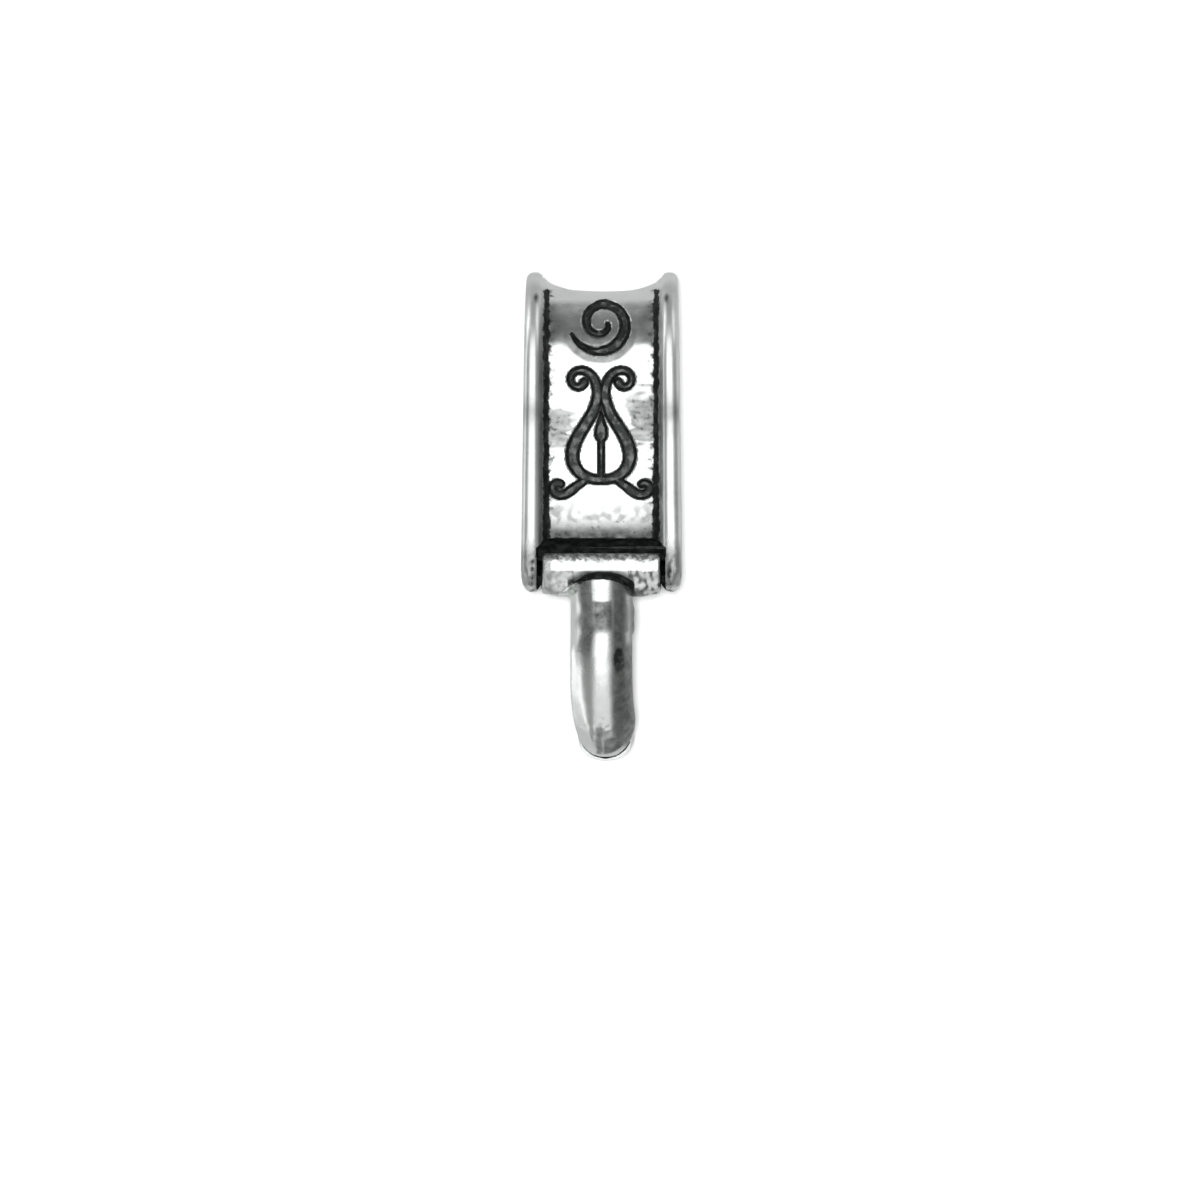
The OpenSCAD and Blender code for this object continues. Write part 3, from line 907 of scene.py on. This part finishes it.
def silver_material(name):
    """Cast silver. The mesh says where it is stained, where painted shade and painted reflections
    darken it, where it is dulled, blackened by oxide and by painted shade, satin and rough-cast;
    noise breaks up the edges of those places and adds scratches and pits."""
    material = bpy.data.materials.new(name)
    g = Graph(material)
    fine = g.noise(scale=5.5, detail=3.0, rough=0.5)
    centred = g.math("SUBTRACT", fine, 0.5)
    mottle = g.noise(scale=3.2, detail=4.0, rough=0.6)
    patches = g.noise(scale=1.6, detail=4.0, rough=0.6)
    clouds = g.noise(scale=0.7, detail=4.0, rough=0.55)
    grain = g.noise(scale=24.0, detail=3.0, rough=0.6)
    scratches = g.noise(scale=5.0, detail=3.0, rough=0.6, stretch=(1.0, 7.0, 7.0))
    pits = g.cells(scale=4.2)
    film = g.math("MULTIPLY", g.ramp(clouds, 0.42, 0.7), 0.8)

    black = g.math("ADD", g.attribute("black"), g.math("MULTIPLY", centred, 0.9))
    black = g.math("MAXIMUM", g.ramp(black, 0.35, 0.7), g.round_the_pin(far=0.11, near=0.03))
    dull = g.math("ADD", g.attribute("dull"), g.math("MULTIPLY", centred, 2.2))
    dull = g.ramp(dull, 0.35, 0.9)
    cast = g.attribute("cast")
    uneven = g.math("ADD", 0.55, g.math("MULTIPLY", mottle, 0.9))
    # This darkening carries real stains and also painted shade and painted dark reflections
    stain_and_shade = g.math("MULTIPLY", g.attribute("stain_and_shade"), uneven, clamp=True)

    colour = g.mix(dull, g.mix(film, SILVER, FILM), GREY)
    colour = g.mix(stain_and_shade, colour, STAIN_AND_SHADE)
    # Black: oxide, and painted shade in the hollows between parts
    colour = g.mix(black, colour, g.mix(g.ramp(mottle, 0.4, 0.75), OXIDE_AND_SHADE, WORN_OXIDE_AND_SHADE))
    rough = g.blend(g.ramp(patches, 0.3, 0.75), POLISHED_ROUGH, WORN_ROUGH)
    rough = g.blend(g.attribute("satin"), rough, SATIN_ROUGH)
    rough = g.blend(dull, rough, DULL_ROUGH)
    rough = g.blend(stain_and_shade, rough, STAIN_AND_SHADE_ROUGH)
    rough = g.blend(cast, rough, CAST_ROUGH)
    rough = g.blend(black, rough, OXIDE_AND_SHADE_ROUGH)

    height = g.math("MULTIPLY", scratches, SCRATCH_HEIGHT)
    height = g.math("ADD", height, g.math("MULTIPLY", grain, GRAIN_HEIGHT))
    coarse = g.math("MULTIPLY", g.math("MULTIPLY", fine, cast), CAST_HEIGHT)
    height = g.math("ADD", height, coarse)
    hole = g.math("MULTIPLY", g.ramp(pits, 0.16, 0.05), g.math("ADD", cast, 0.15))
    height = g.math("SUBTRACT", height, g.math("MULTIPLY", hole, PIT_DEPTH))
    shader = g.metal(colour, rough, height, bump_strength=0.5)
    g.link(g.blend(black, 1.0, OXIDE_AND_SHADE_METALLIC), shader.inputs["Metallic"])
    g.link(0.15, shader.inputs["Specular IOR Level"])
    return material


def wire_material():
    """Drawn wire: bright, filed ends and a blackened middle."""
    material = bpy.data.materials.new("wire_silver")
    g = Graph(material)
    place = g.add("ShaderNodeSeparateXYZ")
    g.link(g.place(), place.inputs[0])
    dark = g.ramp(g.math("ABSOLUTE", place.outputs["X"]), *WIRE_END_FADE)
    streaks = g.noise(scale=9.0, detail=3.0, rough=0.6, stretch=(0.2, 1.0, 1.0))
    rough = g.blend(dark, g.ramp(streaks, -0.6, 2.2), 0.6)
    height = g.noise(scale=7.0, detail=3.0, rough=0.6, stretch=(1.0, 1.0, 4.0))
    shader = g.metal(g.mix(dark, SILVER, OXIDE_AND_SHADE), rough, height, bump_strength=0.4)
    g.link(1.0, shader.inputs["Metallic"])
    return material


def finish_piece(obj, values, material):
    """Shades the piece and stores its marks, point by point, for the material to read."""
    mesh = obj.data
    for key, value in values.items():
        layer = mesh.attributes.new(key, "FLOAT", "POINT")
        layer.data.foreach_set("value", np.clip(value, 0, 1).astype(np.float32))
    mesh.shade_smooth()
    mesh.set_sharp_from_angle(angle=math.radians(38))
    mesh.materials.clear()
    mesh.materials.append(material)


# Marks. Each mark is 0 where it is absent and 1 where it is full. A noise is its size and its seed.

def strongest(*marks):
    """The strongest of several marks at each point. A mark is how strong it is and where it is."""
    return np.maximum.reduce([strength * where for strength, where in marks])


# The ring's marks

RAGGED = 0.025
RAGGED_NOISE = (0.35, 11)
RING_LOW_Y = FOOT_Y + 0.2
CORE_MARGIN = 0.3
FIELD_MARGIN = 0.02
RIM_MARGIN = 0.15
POCKET_MARGIN = 0.02
POCKET_SIDE_MARGIN = 0.01
TOP_WEAR_FADE = (8.5, 8.25)
FRONT_RIM_FADE = (PIN_Z - 1.5, PIN_Z - 0.7)

STROKE_EDGE_BAND = (-0.05, 0.07)
CORNER_HALF = 0.15
CORNER_SWELL = 0.05
CORNER_NOISE = (1.1, 39)
CORNER_FOOT_FADE = (1.0, -0.8)
# Blackening of the field's end at the trench: oxide and painted shade
FIELD_FOOT_OXIDE_AND_SHADE_FADE = (-0.72, -0.92)
EAR_PIT_BAND = (2.52, 0.16)
EAR_PIT_FADE = (-1.2, -1.8)

CURL_PATCH_X = 1.62
CURL_PATCH_HALF_X = 0.62
RIGHT_PATCH = (3.55, 0.85)
LEFT_PATCH = (3.25, 0.6)
CURL_PATCH_STRETCH = 1.2
CURL_PATCH_FADE = (1.15, 0.75)
STREAK_SQUASH = (0.5, 1.7, 1)
STREAK_NOISE = (0.3, 33)

BORDER_BAND = (1.9, 0.2)
# Greyer towards the field's foot: painted shade where it runs down to the knuckle, with some dirt
FIELD_FOOT_DULL_AND_SHADE_FADE = (0.4, -0.9)
FIELD_FOOT_STAIN_AND_SHADE_FADE = (0.5, -1.0)
HALO_FADE = (0.36, 0.24)
HALO_TOP_FADE = (7.3, 6.8)
STROKE_FLOOR_FADE = (0.03, -0.04)
# Tarnish and painted shade on the field's turn over the top
TOP_STAIN_AND_SHADE_LOW = 6.3
TOP_STAIN_AND_SHADE_DIP = 0.4
TOP_STAIN_AND_SHADE_DIP_HALF = 0.8
TOP_STAIN_AND_SHADE_EDGE = (-0.08, 0.15)
TOP_STAIN_AND_SHADE_EDGE_NOISE = (0.4, 31)
TOP_STAIN_AND_SHADE_END_FADE = (8.0, 7.7)
TOP_STAIN_AND_SHADE_SIDE_FADE = (1.0, 2.0)
TOP_STAIN_AND_SHADE_NOISE = (0.45, 37)
VEIL_FADE = (0.9, -0.1)
VEIL_NOISE = (0.28, 47)
VEIL_NOISE_FADE = (-0.15, 0.35)
FLANK_BAND = (2.17, 0.13)
FLANK_TOP_FADE = (6.5, 5.5)

# Painted dark reflections on the rims, a spot near each rim's top and a band across them, and
# painted shade on the rims' tops
DARK_REFLECTION_X_BAND = (2.46, 0.13)
DARK_REFLECTION_Y_BAND = (8.0, 0.2)
RIM_DARK_REFLECTION_BAND = (3.8, 0.5)
RIM_CREST_Z = FRONT_Z - 0.5
RIM_TOP_SHADE_FADE = (7.3, 8.3)
RIM_FOOT_FADE = (-0.7, -1.6)
RIM_CAST_FADE = (-0.4, -1.4)
EAR_MARK_BAND = (2.52, 0.17)
EAR_MARK_FADE = (-1.0, -1.7)
EAR_MARK_NOISE = (0.17, 35)
EAR_MARK_NOISE_FADE = (-0.25, 0.25)

INNER_MARGIN = 0.05
INNER_LOW_Z = 1.3
INNER_HALF = 2.8
INNER_MIDDLE_FADE = (2.5, 2.2)
# Painted shade with dirt inside the foot
INNER_FOOT_DIRT_AND_SHADE_FADE = (-0.55, -1.15)
INNER_CORNER_FADE = (-0.4, -1.2)
INNER_CORNER_Z_FADE = (2.8, 1.4)
FOOT_FACE_Y = FOOT_Y + RIM_RISE + 0.15
SOLDER_Y = FOOT_Y + RIM_RISE - 0.3
SOLDER_REACH = 0.3
SOLDER_BAND = (1.0, 0.14)
# Darker towards the front of the foot and the arm's raised end
FOOT_FRONT_DARK_FADE = (PIN_Z - 2.2, PIN_Z - 1.3)


def curl_patches(p, across):
    """Dull patches on the field under the lyre's upper curls, torn into streaks."""
    x, y, _ = p.T
    streaks = wobble(p * STREAK_SQUASH, *STREAK_NOISE)
    middle_y = np.where(x > 0, RIGHT_PATCH[0], LEFT_PATCH[0])
    half_y = CURL_PATCH_STRETCH * np.where(x > 0, RIGHT_PATCH[1], LEFT_PATCH[1])
    off_x = (across - CURL_PATCH_X) / CURL_PATCH_HALF_X
    off = (off_x ** 4 + ((y - middle_y) / half_y) ** 4) ** 0.25
    return smoothstep(*CURL_PATCH_FADE, off + 0.65 * streaks) * (0.85 + 0.5 * streaks)


def top_tarnish_and_shade(p, across):
    """Tarnish and painted shade on the field above the lyre, where it turns back over the top;
    deeper at the sides.
    """
    x, y, _ = p.T
    low = TOP_STAIN_AND_SHADE_LOW - TOP_STAIN_AND_SHADE_DIP * bell(x, 0, TOP_STAIN_AND_SHADE_DIP_HALF)
    edge_y = y + 0.16 * wobble(p, *TOP_STAIN_AND_SHADE_EDGE_NOISE)
    above = smoothstep(low + TOP_STAIN_AND_SHADE_EDGE[0], low + TOP_STAIN_AND_SHADE_EDGE[1], edge_y)
    deep = 0.42 + 0.28 * smoothstep(*TOP_STAIN_AND_SHADE_SIDE_FADE, across)
    deep *= 1 + 0.35 * wobble(p, *TOP_STAIN_AND_SHADE_NOISE)
    return above * smoothstep(*TOP_STAIN_AND_SHADE_END_FADE, y) * deep


def ring_marks(p):
    """Where the ring is black, dull, stained, darkened by painted shade and painted reflections,
    rough-cast and satin, for each of its points.
    """
    x, y, z = p.T
    across = np.abs(x) / (1 - taper(x, y))
    gap = engraving_distance(x, y)
    ragged = RAGGED * wobble(p, *RAGGED_NOISE)
    off_core = np.where(y > ARC_Y, np.hypot(y - ARC_Y, z - MIDDLE_Z), np.abs(z - MIDDLE_Z))
    outside = off_core > RING_D / 2 - CREST_T + CORE_MARGIN
    outside |= y < FOOT_Y + CREST_T - CORE_MARGIN
    in_front = (z > FRONT_Z / 2) & (y > PIN_Y)
    field = in_front & (across < FIELD_CORNER_X + FIELD_MARGIN) & outside
    on_ring = y > RING_LOW_Y
    rim = on_ring & (across > FIELD_CORNER_X + RIM_MARGIN)
    front_rim = rim * smoothstep(*FRONT_RIM_FADE, z)
    worn_top = smoothstep(*TOP_WEAR_FADE, y)
    corner_runs = on_ring * outside * worn_top
    ear_front = z > PIN_Z

    # The pocket's wall is blackened as painted shade
    pocket = np.hypot(y - PIN_Y, z - PIN_Z) < POCKET_R + POCKET_MARGIN
    pocket &= np.abs(x) < EAR_IN + POCKET_SIDE_MARGIN
    corner_half = CORNER_HALF + CORNER_SWELL * wobble(p, *CORNER_NOISE)
    corner_half += CORNER_SWELL * smoothstep(*CORNER_FOOT_FADE, y)
    ear_pits = bell(across + ragged, *EAR_PIT_BAND) * smoothstep(*EAR_PIT_FADE, y) * ear_front
    black = strongest(
        (1, bell(gap + 1.5 * ragged, *STROKE_EDGE_BAND) * field),
        (1, bell(across + ragged, FIELD_CORNER_X, corner_half) * corner_runs),
        # The field's end, where it drops into the trench, is blackened: oxide and painted shade
        (1, smoothstep(*FIELD_FOOT_OXIDE_AND_SHADE_FADE, y + ragged) * field),
        (1, pocket),
        (0.5, ear_pits),
    )

    patches = curl_patches(p, across)
    dull = field * strongest(
        (0.4, patches),
        (0.52, bell(across, *BORDER_BAND) * worn_top),
        # Painted shade with some dirt towards the field's foot
        (0.3, smoothstep(*FIELD_FOOT_DULL_AND_SHADE_FADE, y)),
    )

    halo = smoothstep(*HALO_FADE, stroke_distance(x, y, SPIRAL) + ragged)
    # Stains on the field, with painted shade at its foot and over its top
    field_stain_and_shade = field * strongest(
        (0.62, halo * smoothstep(*HALO_TOP_FADE, y)),
        (0.97, smoothstep(*STROKE_FLOOR_FADE, gap)),
        # Painted shade with some dirt towards the field's foot
        (0.92, smoothstep(*FIELD_FOOT_STAIN_AND_SHADE_FADE, y) ** 1.3),
        # Tarnish and painted shade where the field turns over the top
        (1, top_tarnish_and_shade(p, across)),
        (np.where(x > 0, 0.74, 0.6), patches),
    )
    veil = 0.2 + 0.32 * smoothstep(*VEIL_NOISE_FADE, wobble(p, *VEIL_NOISE))
    flank = 0.35 + 0.3 * smoothstep(*FLANK_TOP_FADE, y) * in_front
    ear_marks = bell(across + 2 * ragged, *EAR_MARK_BAND) * smoothstep(*EAR_MARK_FADE, y)
    ear_marks *= smoothstep(*EAR_MARK_NOISE_FADE, wobble(p, *EAR_MARK_NOISE)) * ear_front

    inner = (y > FOOT_Y + CREST_T - INNER_MARGIN) & (np.abs(x) < INNER_HALF)
    inner &= (z > INNER_LOW_Z) & (z < FRONT_Z - CREST_T + INNER_MARGIN)
    # Painted shade with dirt in the inner corner of the foot
    inner_corner_dirt_and_shade = smoothstep(*INNER_CORNER_FADE, y) * smoothstep(*INNER_CORNER_Z_FADE, z)
    inner_corner_dirt_and_shade *= inner * smoothstep(*INNER_MIDDLE_FADE, np.abs(x))
    foot_face = (y < FOOT_FACE_Y) & (across < FIELD_CORNER_X)
    arm_x = x / (ARM_W / 2 + SOLDER_REACH)
    arm_z = (z - ARM_ROOT_Z) / (ARM_T / 2 + SOLDER_REACH)
    solder = bell(np.hypot(arm_x, arm_z), *SOLDER_BAND) * (y > SOLDER_Y)
    # Real stains together with painted shade and painted dark reflections
    stain_and_shade = strongest(
        (1, field_stain_and_shade),
        (veil, smoothstep(*VEIL_FADE, y) * field),
        (flank, bell(across, *FLANK_BAND) * corner_runs),
        # Painted dark reflections on the rims' fronts and painted shade on their tops
        (0.95, bell(across, *DARK_REFLECTION_X_BAND) * bell(y, *DARK_REFLECTION_Y_BAND) * in_front),
        (0.42, bell(y, *RIM_DARK_REFLECTION_BAND) * front_rim * (z > RIM_CREST_Z)),
        (0.25, smoothstep(*RIM_TOP_SHADE_FADE, y) * front_rim),
        (0.5, smoothstep(*RIM_FOOT_FADE, y) * front_rim),
        (0.95, ear_marks),
        # Inside the foot: painted shade with dirt
        (0.75, smoothstep(*INNER_FOOT_DIRT_AND_SHADE_FADE, y) * inner),
        (0.9, inner_corner_dirt_and_shade),
        (0.5, solder * foot_face),
        # Darker towards the front of the foot, behind the knuckle, and on the arm's raised end
        (0.6, smoothstep(*FOOT_FRONT_DARK_FADE, z + 4 * ragged) * foot_face),
    )
    cast = 0.8 * smoothstep(*RIM_CAST_FADE, y) * front_rim
    return {"black": black, "dull": dull, "stain_and_shade": stain_and_shade, "cast": cast, "satin": rim * 1.0}


# The gate's marks

GATE_RAGGED = 0.1
GATE_RAGGED_NOISE = (0.5, 21)
NEAR_CREASE_X = 1.25
NEAR_CREASE_BACK = 0.1
CREASE_LEFT_FADE = (-1.24, -0.5)
CREASE_RIGHT_FADE = (1.3, 1.15)
CREASE_BLACK_WIDER = 0.02
CREASE_BLACK_SKEW = 0.04
CREASE_BLACK_FADE = (0.05, -0.03)
CREASE_END_FADE = (0, 0.2)
SHADE_FADE = (0.5, 0.1)
SHADE_Y_FADE = (-1.98, -2.06)
TOP_EDGE_FADE = (PIN_Y + 0.16, PIN_Y + 0.36)
TONGUE_HIGH_Y = PIN_Y - 1
LUG_Y = PIN_Y - 0.08
LUG_X = 1.0
LUG_SQUASH = (1.5, 1, 1)
LUG_NOISE = (0.25, 45)
LUG_NOISE_FADE = (-0.15, 0.3)
# Painted shade on the tongue's right side, and a painted light strip in it
RIGHT_SHADE_FADE = (0.3, 0.5)
LIGHT_STRIP_BAND = (0.98, 0.12)
LIGHT_STRIP_FADE = (-4.9, -4.5)
SPOT_PLACE = (0.66, -5.3)
SPOT_HALF = (0.28, 0.64)
SPOT_FADE = (1.25, 0.5)

PATCH_TOP = -3.14
PATCH_TOP_RISE = 0.85
PATCH_TOP_X = 0.04
PATCH_TOP_SIDE_FADE = (0.29, 0.42)
PATCH_TOP_EDGE = (0.05, -0.07)
PATCH_LOW = -4.25
PATCH_LOW_FALL = 1.15
PATCH_LOW_SIDE_FADE = (-0.2, -0.45)
PATCH_SOFT = 0.12
PATCH_SOFTER = 0.4
PATCH_SOFT_SIDE_FADE = (-0.1, -0.45)
PATCH_RIGHT_FADE = (0.5, 0.34)
PATCH_LEFT_FADE = (-0.98, -0.72)

# Painted shade on the tip's facets: a dark line and a dark lower right part
TIP_LINE_X = -0.08
TIP_LINE_HALF = 0.08
TIP_LINE_FADE = (0.06, 0.0)
TIP_LINE_Y_FADE = (-7.7, -7.85)
TIP_LOW_Y = -8.2
TIP_LOW_SLOPE = 0.35
TIP_LOW_X = 0.3
TIP_LOW_FADE = (0.1, -0.05)
TIP_LOW_SIDE_FADE = (0.0, 0.12)
TIP_PLACE = (0.03, -7.75)
TIP_RADIUS = 1.12
TIP_RIM_FADE = (0.9, 0.95)
TIP_MOTTLE_NOISE = (0.2, 43)
TIP_MOTTLE_FADE = (0.0, 0.3)
TIP_MOTTLE_BAND = (-7.85, 0.3)
TIP_MOTTLE_SIDE_FADE = (-0.15, 0.05)
TIP_Y = -7.6
SIDE_END_FADE = (-8.25, -7.7)
SIDE_END_SLOPE = 0.6


def tongue_patch(x, y, ragged):
    """The grey patch on the tongue's front, from its root down."""
    beside = smoothstep(*PATCH_TOP_SIDE_FADE, np.abs(x - PATCH_TOP_X) + 0.3 * ragged)
    top = PATCH_TOP + PATCH_TOP_RISE * beside
    low = PATCH_LOW - PATCH_LOW_FALL * smoothstep(*PATCH_LOW_SIDE_FADE, x)
    soft = PATCH_SOFT + PATCH_SOFTER * smoothstep(*PATCH_SOFT_SIDE_FADE, x)
    patch = smoothstep(top + PATCH_TOP_EDGE[0], top + PATCH_TOP_EDGE[1], y + 0.4 * ragged)
    patch *= np.clip((y + 1.5 * ragged - low + soft) / (2 * soft), 0, 1)
    patch *= smoothstep(*PATCH_RIGHT_FADE, x + 0.5 * ragged)
    return patch * smoothstep(*PATCH_LEFT_FADE, x + 1.5 * ragged)


def tip_marks_and_shade(p, ragged):
    """Mottling on the hammered tip, and a dark line and a dark lower right part painted as the
    shade of facets that turn away from the light.
    """
    x, y, z = p.T
    off_line = np.abs(x - TIP_LINE_X + 0.5 * ragged) - TIP_LINE_HALF
    line = smoothstep(*TIP_LINE_FADE, off_line) * smoothstep(*TIP_LINE_Y_FADE, y)
    off_low = y - TIP_LOW_Y - TIP_LOW_SLOPE * (x - TIP_LOW_X) + ragged
    low = smoothstep(*TIP_LOW_FADE, off_low) * smoothstep(*TIP_LOW_SIDE_FADE, x)
    off_tip = np.hypot((x - TIP_PLACE[0]) / TIP_RADIUS, (y - TIP_PLACE[1]) / TIP_RADIUS)
    off_rim = 1 - smoothstep(*TIP_RIM_FADE, off_tip)
    mottle = smoothstep(*TIP_MOTTLE_FADE, wobble(p, *TIP_MOTTLE_NOISE)) * bell(y, *TIP_MOTTLE_BAND)
    return (z > TIP_Z) * strongest(
        (0.6, line * off_rim),
        (0.72, low * off_rim),
        (0.5, mottle * smoothstep(*TIP_MOTTLE_SIDE_FADE, x)),
    )


def gate_marks(p):
    """Where the gate is black, dull, stained, darkened by painted shade and lightened along a
    painted light strip, rough-cast and satin, for each of its points.
    """
    x, y, z = p.T
    over = y - crease(x)
    ragged = GATE_RAGGED * wobble(p, *GATE_RAGGED_NOISE)
    near = (np.abs(x) < NEAR_CREASE_X) & (z > PIN_Z - NEAR_CREASE_BACK)
    ends = smoothstep(*CREASE_LEFT_FADE, x) * smoothstep(*CREASE_RIGHT_FADE, x)
    black_half = (CREASE_HALF + CREASE_BLACK_WIDER + CREASE_BLACK_SKEW * x) * ends
    # The crease is blackened: oxide in it and painted shade where the tongue meets the knuckle
    crease_oxide_and_shade = smoothstep(*CREASE_BLACK_FADE, np.abs(over) - black_half + 0.3 * ragged)
    crease_oxide_and_shade *= near * smoothstep(*CREASE_END_FADE, ends)
    # Painted shade above the crease, under the knuckle's front
    shade = smoothstep(*SHADE_FADE, over) * (over > 0) * smoothstep(*SHADE_Y_FADE, y) * near
    top_edge = smoothstep(*TOP_EDGE_FADE, y + 0.5 * ragged)

    patch = tongue_patch(x, y, ragged)
    on_tongue = (over < 0) | (y < TONGUE_HIGH_Y)
    # Painted shade down the tongue's right side, lifted along a painted light strip near its edge
    right_side_shade = smoothstep(*RIGHT_SHADE_FADE, x + 0.5 * ragged) * on_tongue
    light_strip = bell(x, *LIGHT_STRIP_BAND) * smoothstep(*LIGHT_STRIP_FADE, y)
    spot = np.hypot((x - SPOT_PLACE[0]) / SPOT_HALF[0], (y - SPOT_PLACE[1]) / SPOT_HALF[1])
    lug = (over > 0) & (y < LUG_Y) & (np.abs(x) > LUG_X)
    lug_mottle = smoothstep(*LUG_NOISE_FADE, wobble(p * LUG_SQUASH, *LUG_NOISE))
    # Real stains together with painted shade on the tongue and under the knuckle
    stain_and_shade = strongest(
        (0.72, right_side_shade * (1 - 0.7 * light_strip)),
        (0.66 + 0.14 * (x > -0.2), patch),
        (0.9, shade),
        (1, smoothstep(*SPOT_FADE, spot)),
        (np.where(x > 0, 0.1 + 0.75 * lug_mottle, 0.15 + 0.3 * lug_mottle), lug),
    )
    # Near the tip the stains and painted shade fade out, and the tip's mottling and painted facet
    # shade take over
    tip_stain_and_shade = stain_and_shade * smoothstep(*SIDE_END_FADE, y + SIDE_END_SLOPE * x)
    tip_stain_and_shade = np.maximum(tip_stain_and_shade, tip_marks_and_shade(p, ragged))
    return {
        "black": strongest((1, crease_oxide_and_shade), (0.36, top_edge)),
        "dull": strongest((0.72, top_edge), (0.2, patch)),
        "stain_and_shade": np.where(y < TIP_Y, tip_stain_and_shade, stain_and_shade),
        "cast": strongest((1, top_edge), (0.15, patch), (0.6, lug)),
        "satin": np.full(len(p), 0.3),
    }


# The ring piece

ring = ring_blank()
arm = arm_mesh()
roughen(arm, large=0.012, small=0.004, seed=9)
combine(arm, parting_block(), "DIFFERENCE")
combine(arm, tongue_mesh("seat", SEAT_GAP, SEAT_SKIN_ROWS), "DIFFERENCE")
combine(ring, arm, "UNION")
combine(ring, cylinder("pocket", POCKET_R, EAR_IN, POCKET_SIDES), "DIFFERENCE")
combine(ring, cylinder("hole", PIN_R + HOLE_GAP, THROUGH), "DIFFERENCE")
drop_slivers(ring)
ring.name = "ring_cast"
finish_piece(ring, ring_marks(points_of(ring)), silver_material("cast_silver"))
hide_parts("ring_band")
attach(ring, "ring")

# The gate piece

gate = gate_mesh()
finish_piece(gate, gate_marks(points_of(gate)), silver_material("gate_silver"))
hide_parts("gate")
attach(gate, "gate")

# The pin

pin_material = wire_material()
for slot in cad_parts["hinge_pin"].material_slots:
    slot.material = pin_material

# Stage

FLOOR_REACH = 900.0
FLOOR_GREY = (0.86, 0.86, 0.86, 1)
FLOOR_IN_METAL = (0.46, 0.46, 0.46, 1)
ROOM_GREY = (0.27, 0.275, 0.27, 1)
BACKDROP_WHITE = (0.93, 0.93, 0.93, 1)

corners = ((-1, -1), (1, -1), (1, 1), (-1, 1))
floor = make_object(
    "floor", [(x * FLOOR_REACH, y * FLOOR_REACH, 0) for x, y in corners], [(0, 1, 2, 3)],
)
floor_material = bpy.data.materials.new("floor")
Graph(floor_material).by_ray(
    "ShaderNodeBsdfDiffuse", FLOOR_GREY, FLOOR_IN_METAL, "Is Glossy Ray",
    "ShaderNodeOutputMaterial",
)
floor.data.materials.append(floor_material)


def softbox(name, direction, distance, angles, radiance, swing=0):
    """A flat lamp seen from the part over `angles`, in degrees either side of its middle, that
    shows in the metal alone. `direction` is degrees from the vertical towards -X and -Y, and
    `swing` turns the lamp about the vertical."""
    lamp = bpy.data.lights.new(name, "AREA")
    lamp.shape = "RECTANGLE"
    lamp.size = 2 * distance * math.tan(math.radians(angles[0])) * MM
    lamp.size_y = 2 * distance * math.tan(math.radians(angles[1])) * MM
    lamp.energy = radiance * math.pi * lamp.size * lamp.size_y
    obj = bpy.data.objects.new(name, lamp)
    turn = Matrix.Rotation(math.radians(swing), 4, "Z")
    turn = turn @ Matrix.Rotation(math.radians(-direction[0]), 4, "Y")
    turn = turn @ Matrix.Rotation(math.radians(direction[1]), 4, "X")
    obj.matrix_world = turn @ Matrix.Translation((0, 0, distance * MM))
    obj.visible_diffuse = False
    bpy.context.scene.collection.objects.link(obj)


softbox("overhead", direction=(0, -3.5), distance=600, angles=(20, 35.5), radiance=1.45)
softbox("front", direction=(0, 54), distance=500, angles=(22, 21), radiance=0.6)
softbox("left", direction=(80, 0), distance=400, angles=(9, 50), radiance=1.2)
for name, side in (("left_corner", 1), ("right_corner", -1)):
    softbox(name, direction=(72 * side, 0), distance=400, angles=(14, 20), radiance=1.0,
            swing=-48 * side)

sun = bpy.data.lights.new("fill", "SUN")
sun.energy = 3.4
sun.angle = math.radians(5)
sun_obj = bpy.data.objects.new("fill", sun)
sun_obj.visible_glossy = False
bpy.context.scene.collection.objects.link(sun_obj)

world = bpy.data.worlds.new("studio")
Graph(world).by_ray(
    "ShaderNodeBackground", ROOM_GREY, BACKDROP_WHITE, "Is Camera Ray", "ShaderNodeOutputWorld",
)
bpy.context.scene.world = world

# Camera: nearly straight above, a little to the right

LENS = 400.0
DISTANCE = 492.0
YAW = math.radians(0.8)
TARGET = Vector((-0.077, -3.1, 4.0))
camera = bpy.data.objects.new("camera", bpy.data.cameras.new("camera"))
camera.data.lens = LENS
camera.data.sensor_width = 36.0
camera.data.clip_start = 0.01
camera.data.clip_end = 5.0
camera.matrix_world = (
    Matrix.Translation(TARGET * MM) @ Matrix.Rotation(YAW, 4, "Y")
    @ Matrix.Translation((0, 0, DISTANCE * MM))
)
bpy.context.scene.collection.objects.link(camera)
bpy.context.scene.camera = camera
bpy.context.scene.view_settings.view_transform = "Standard"


def plain(box):
    return [[float(v) for v in corner] for corner in box]
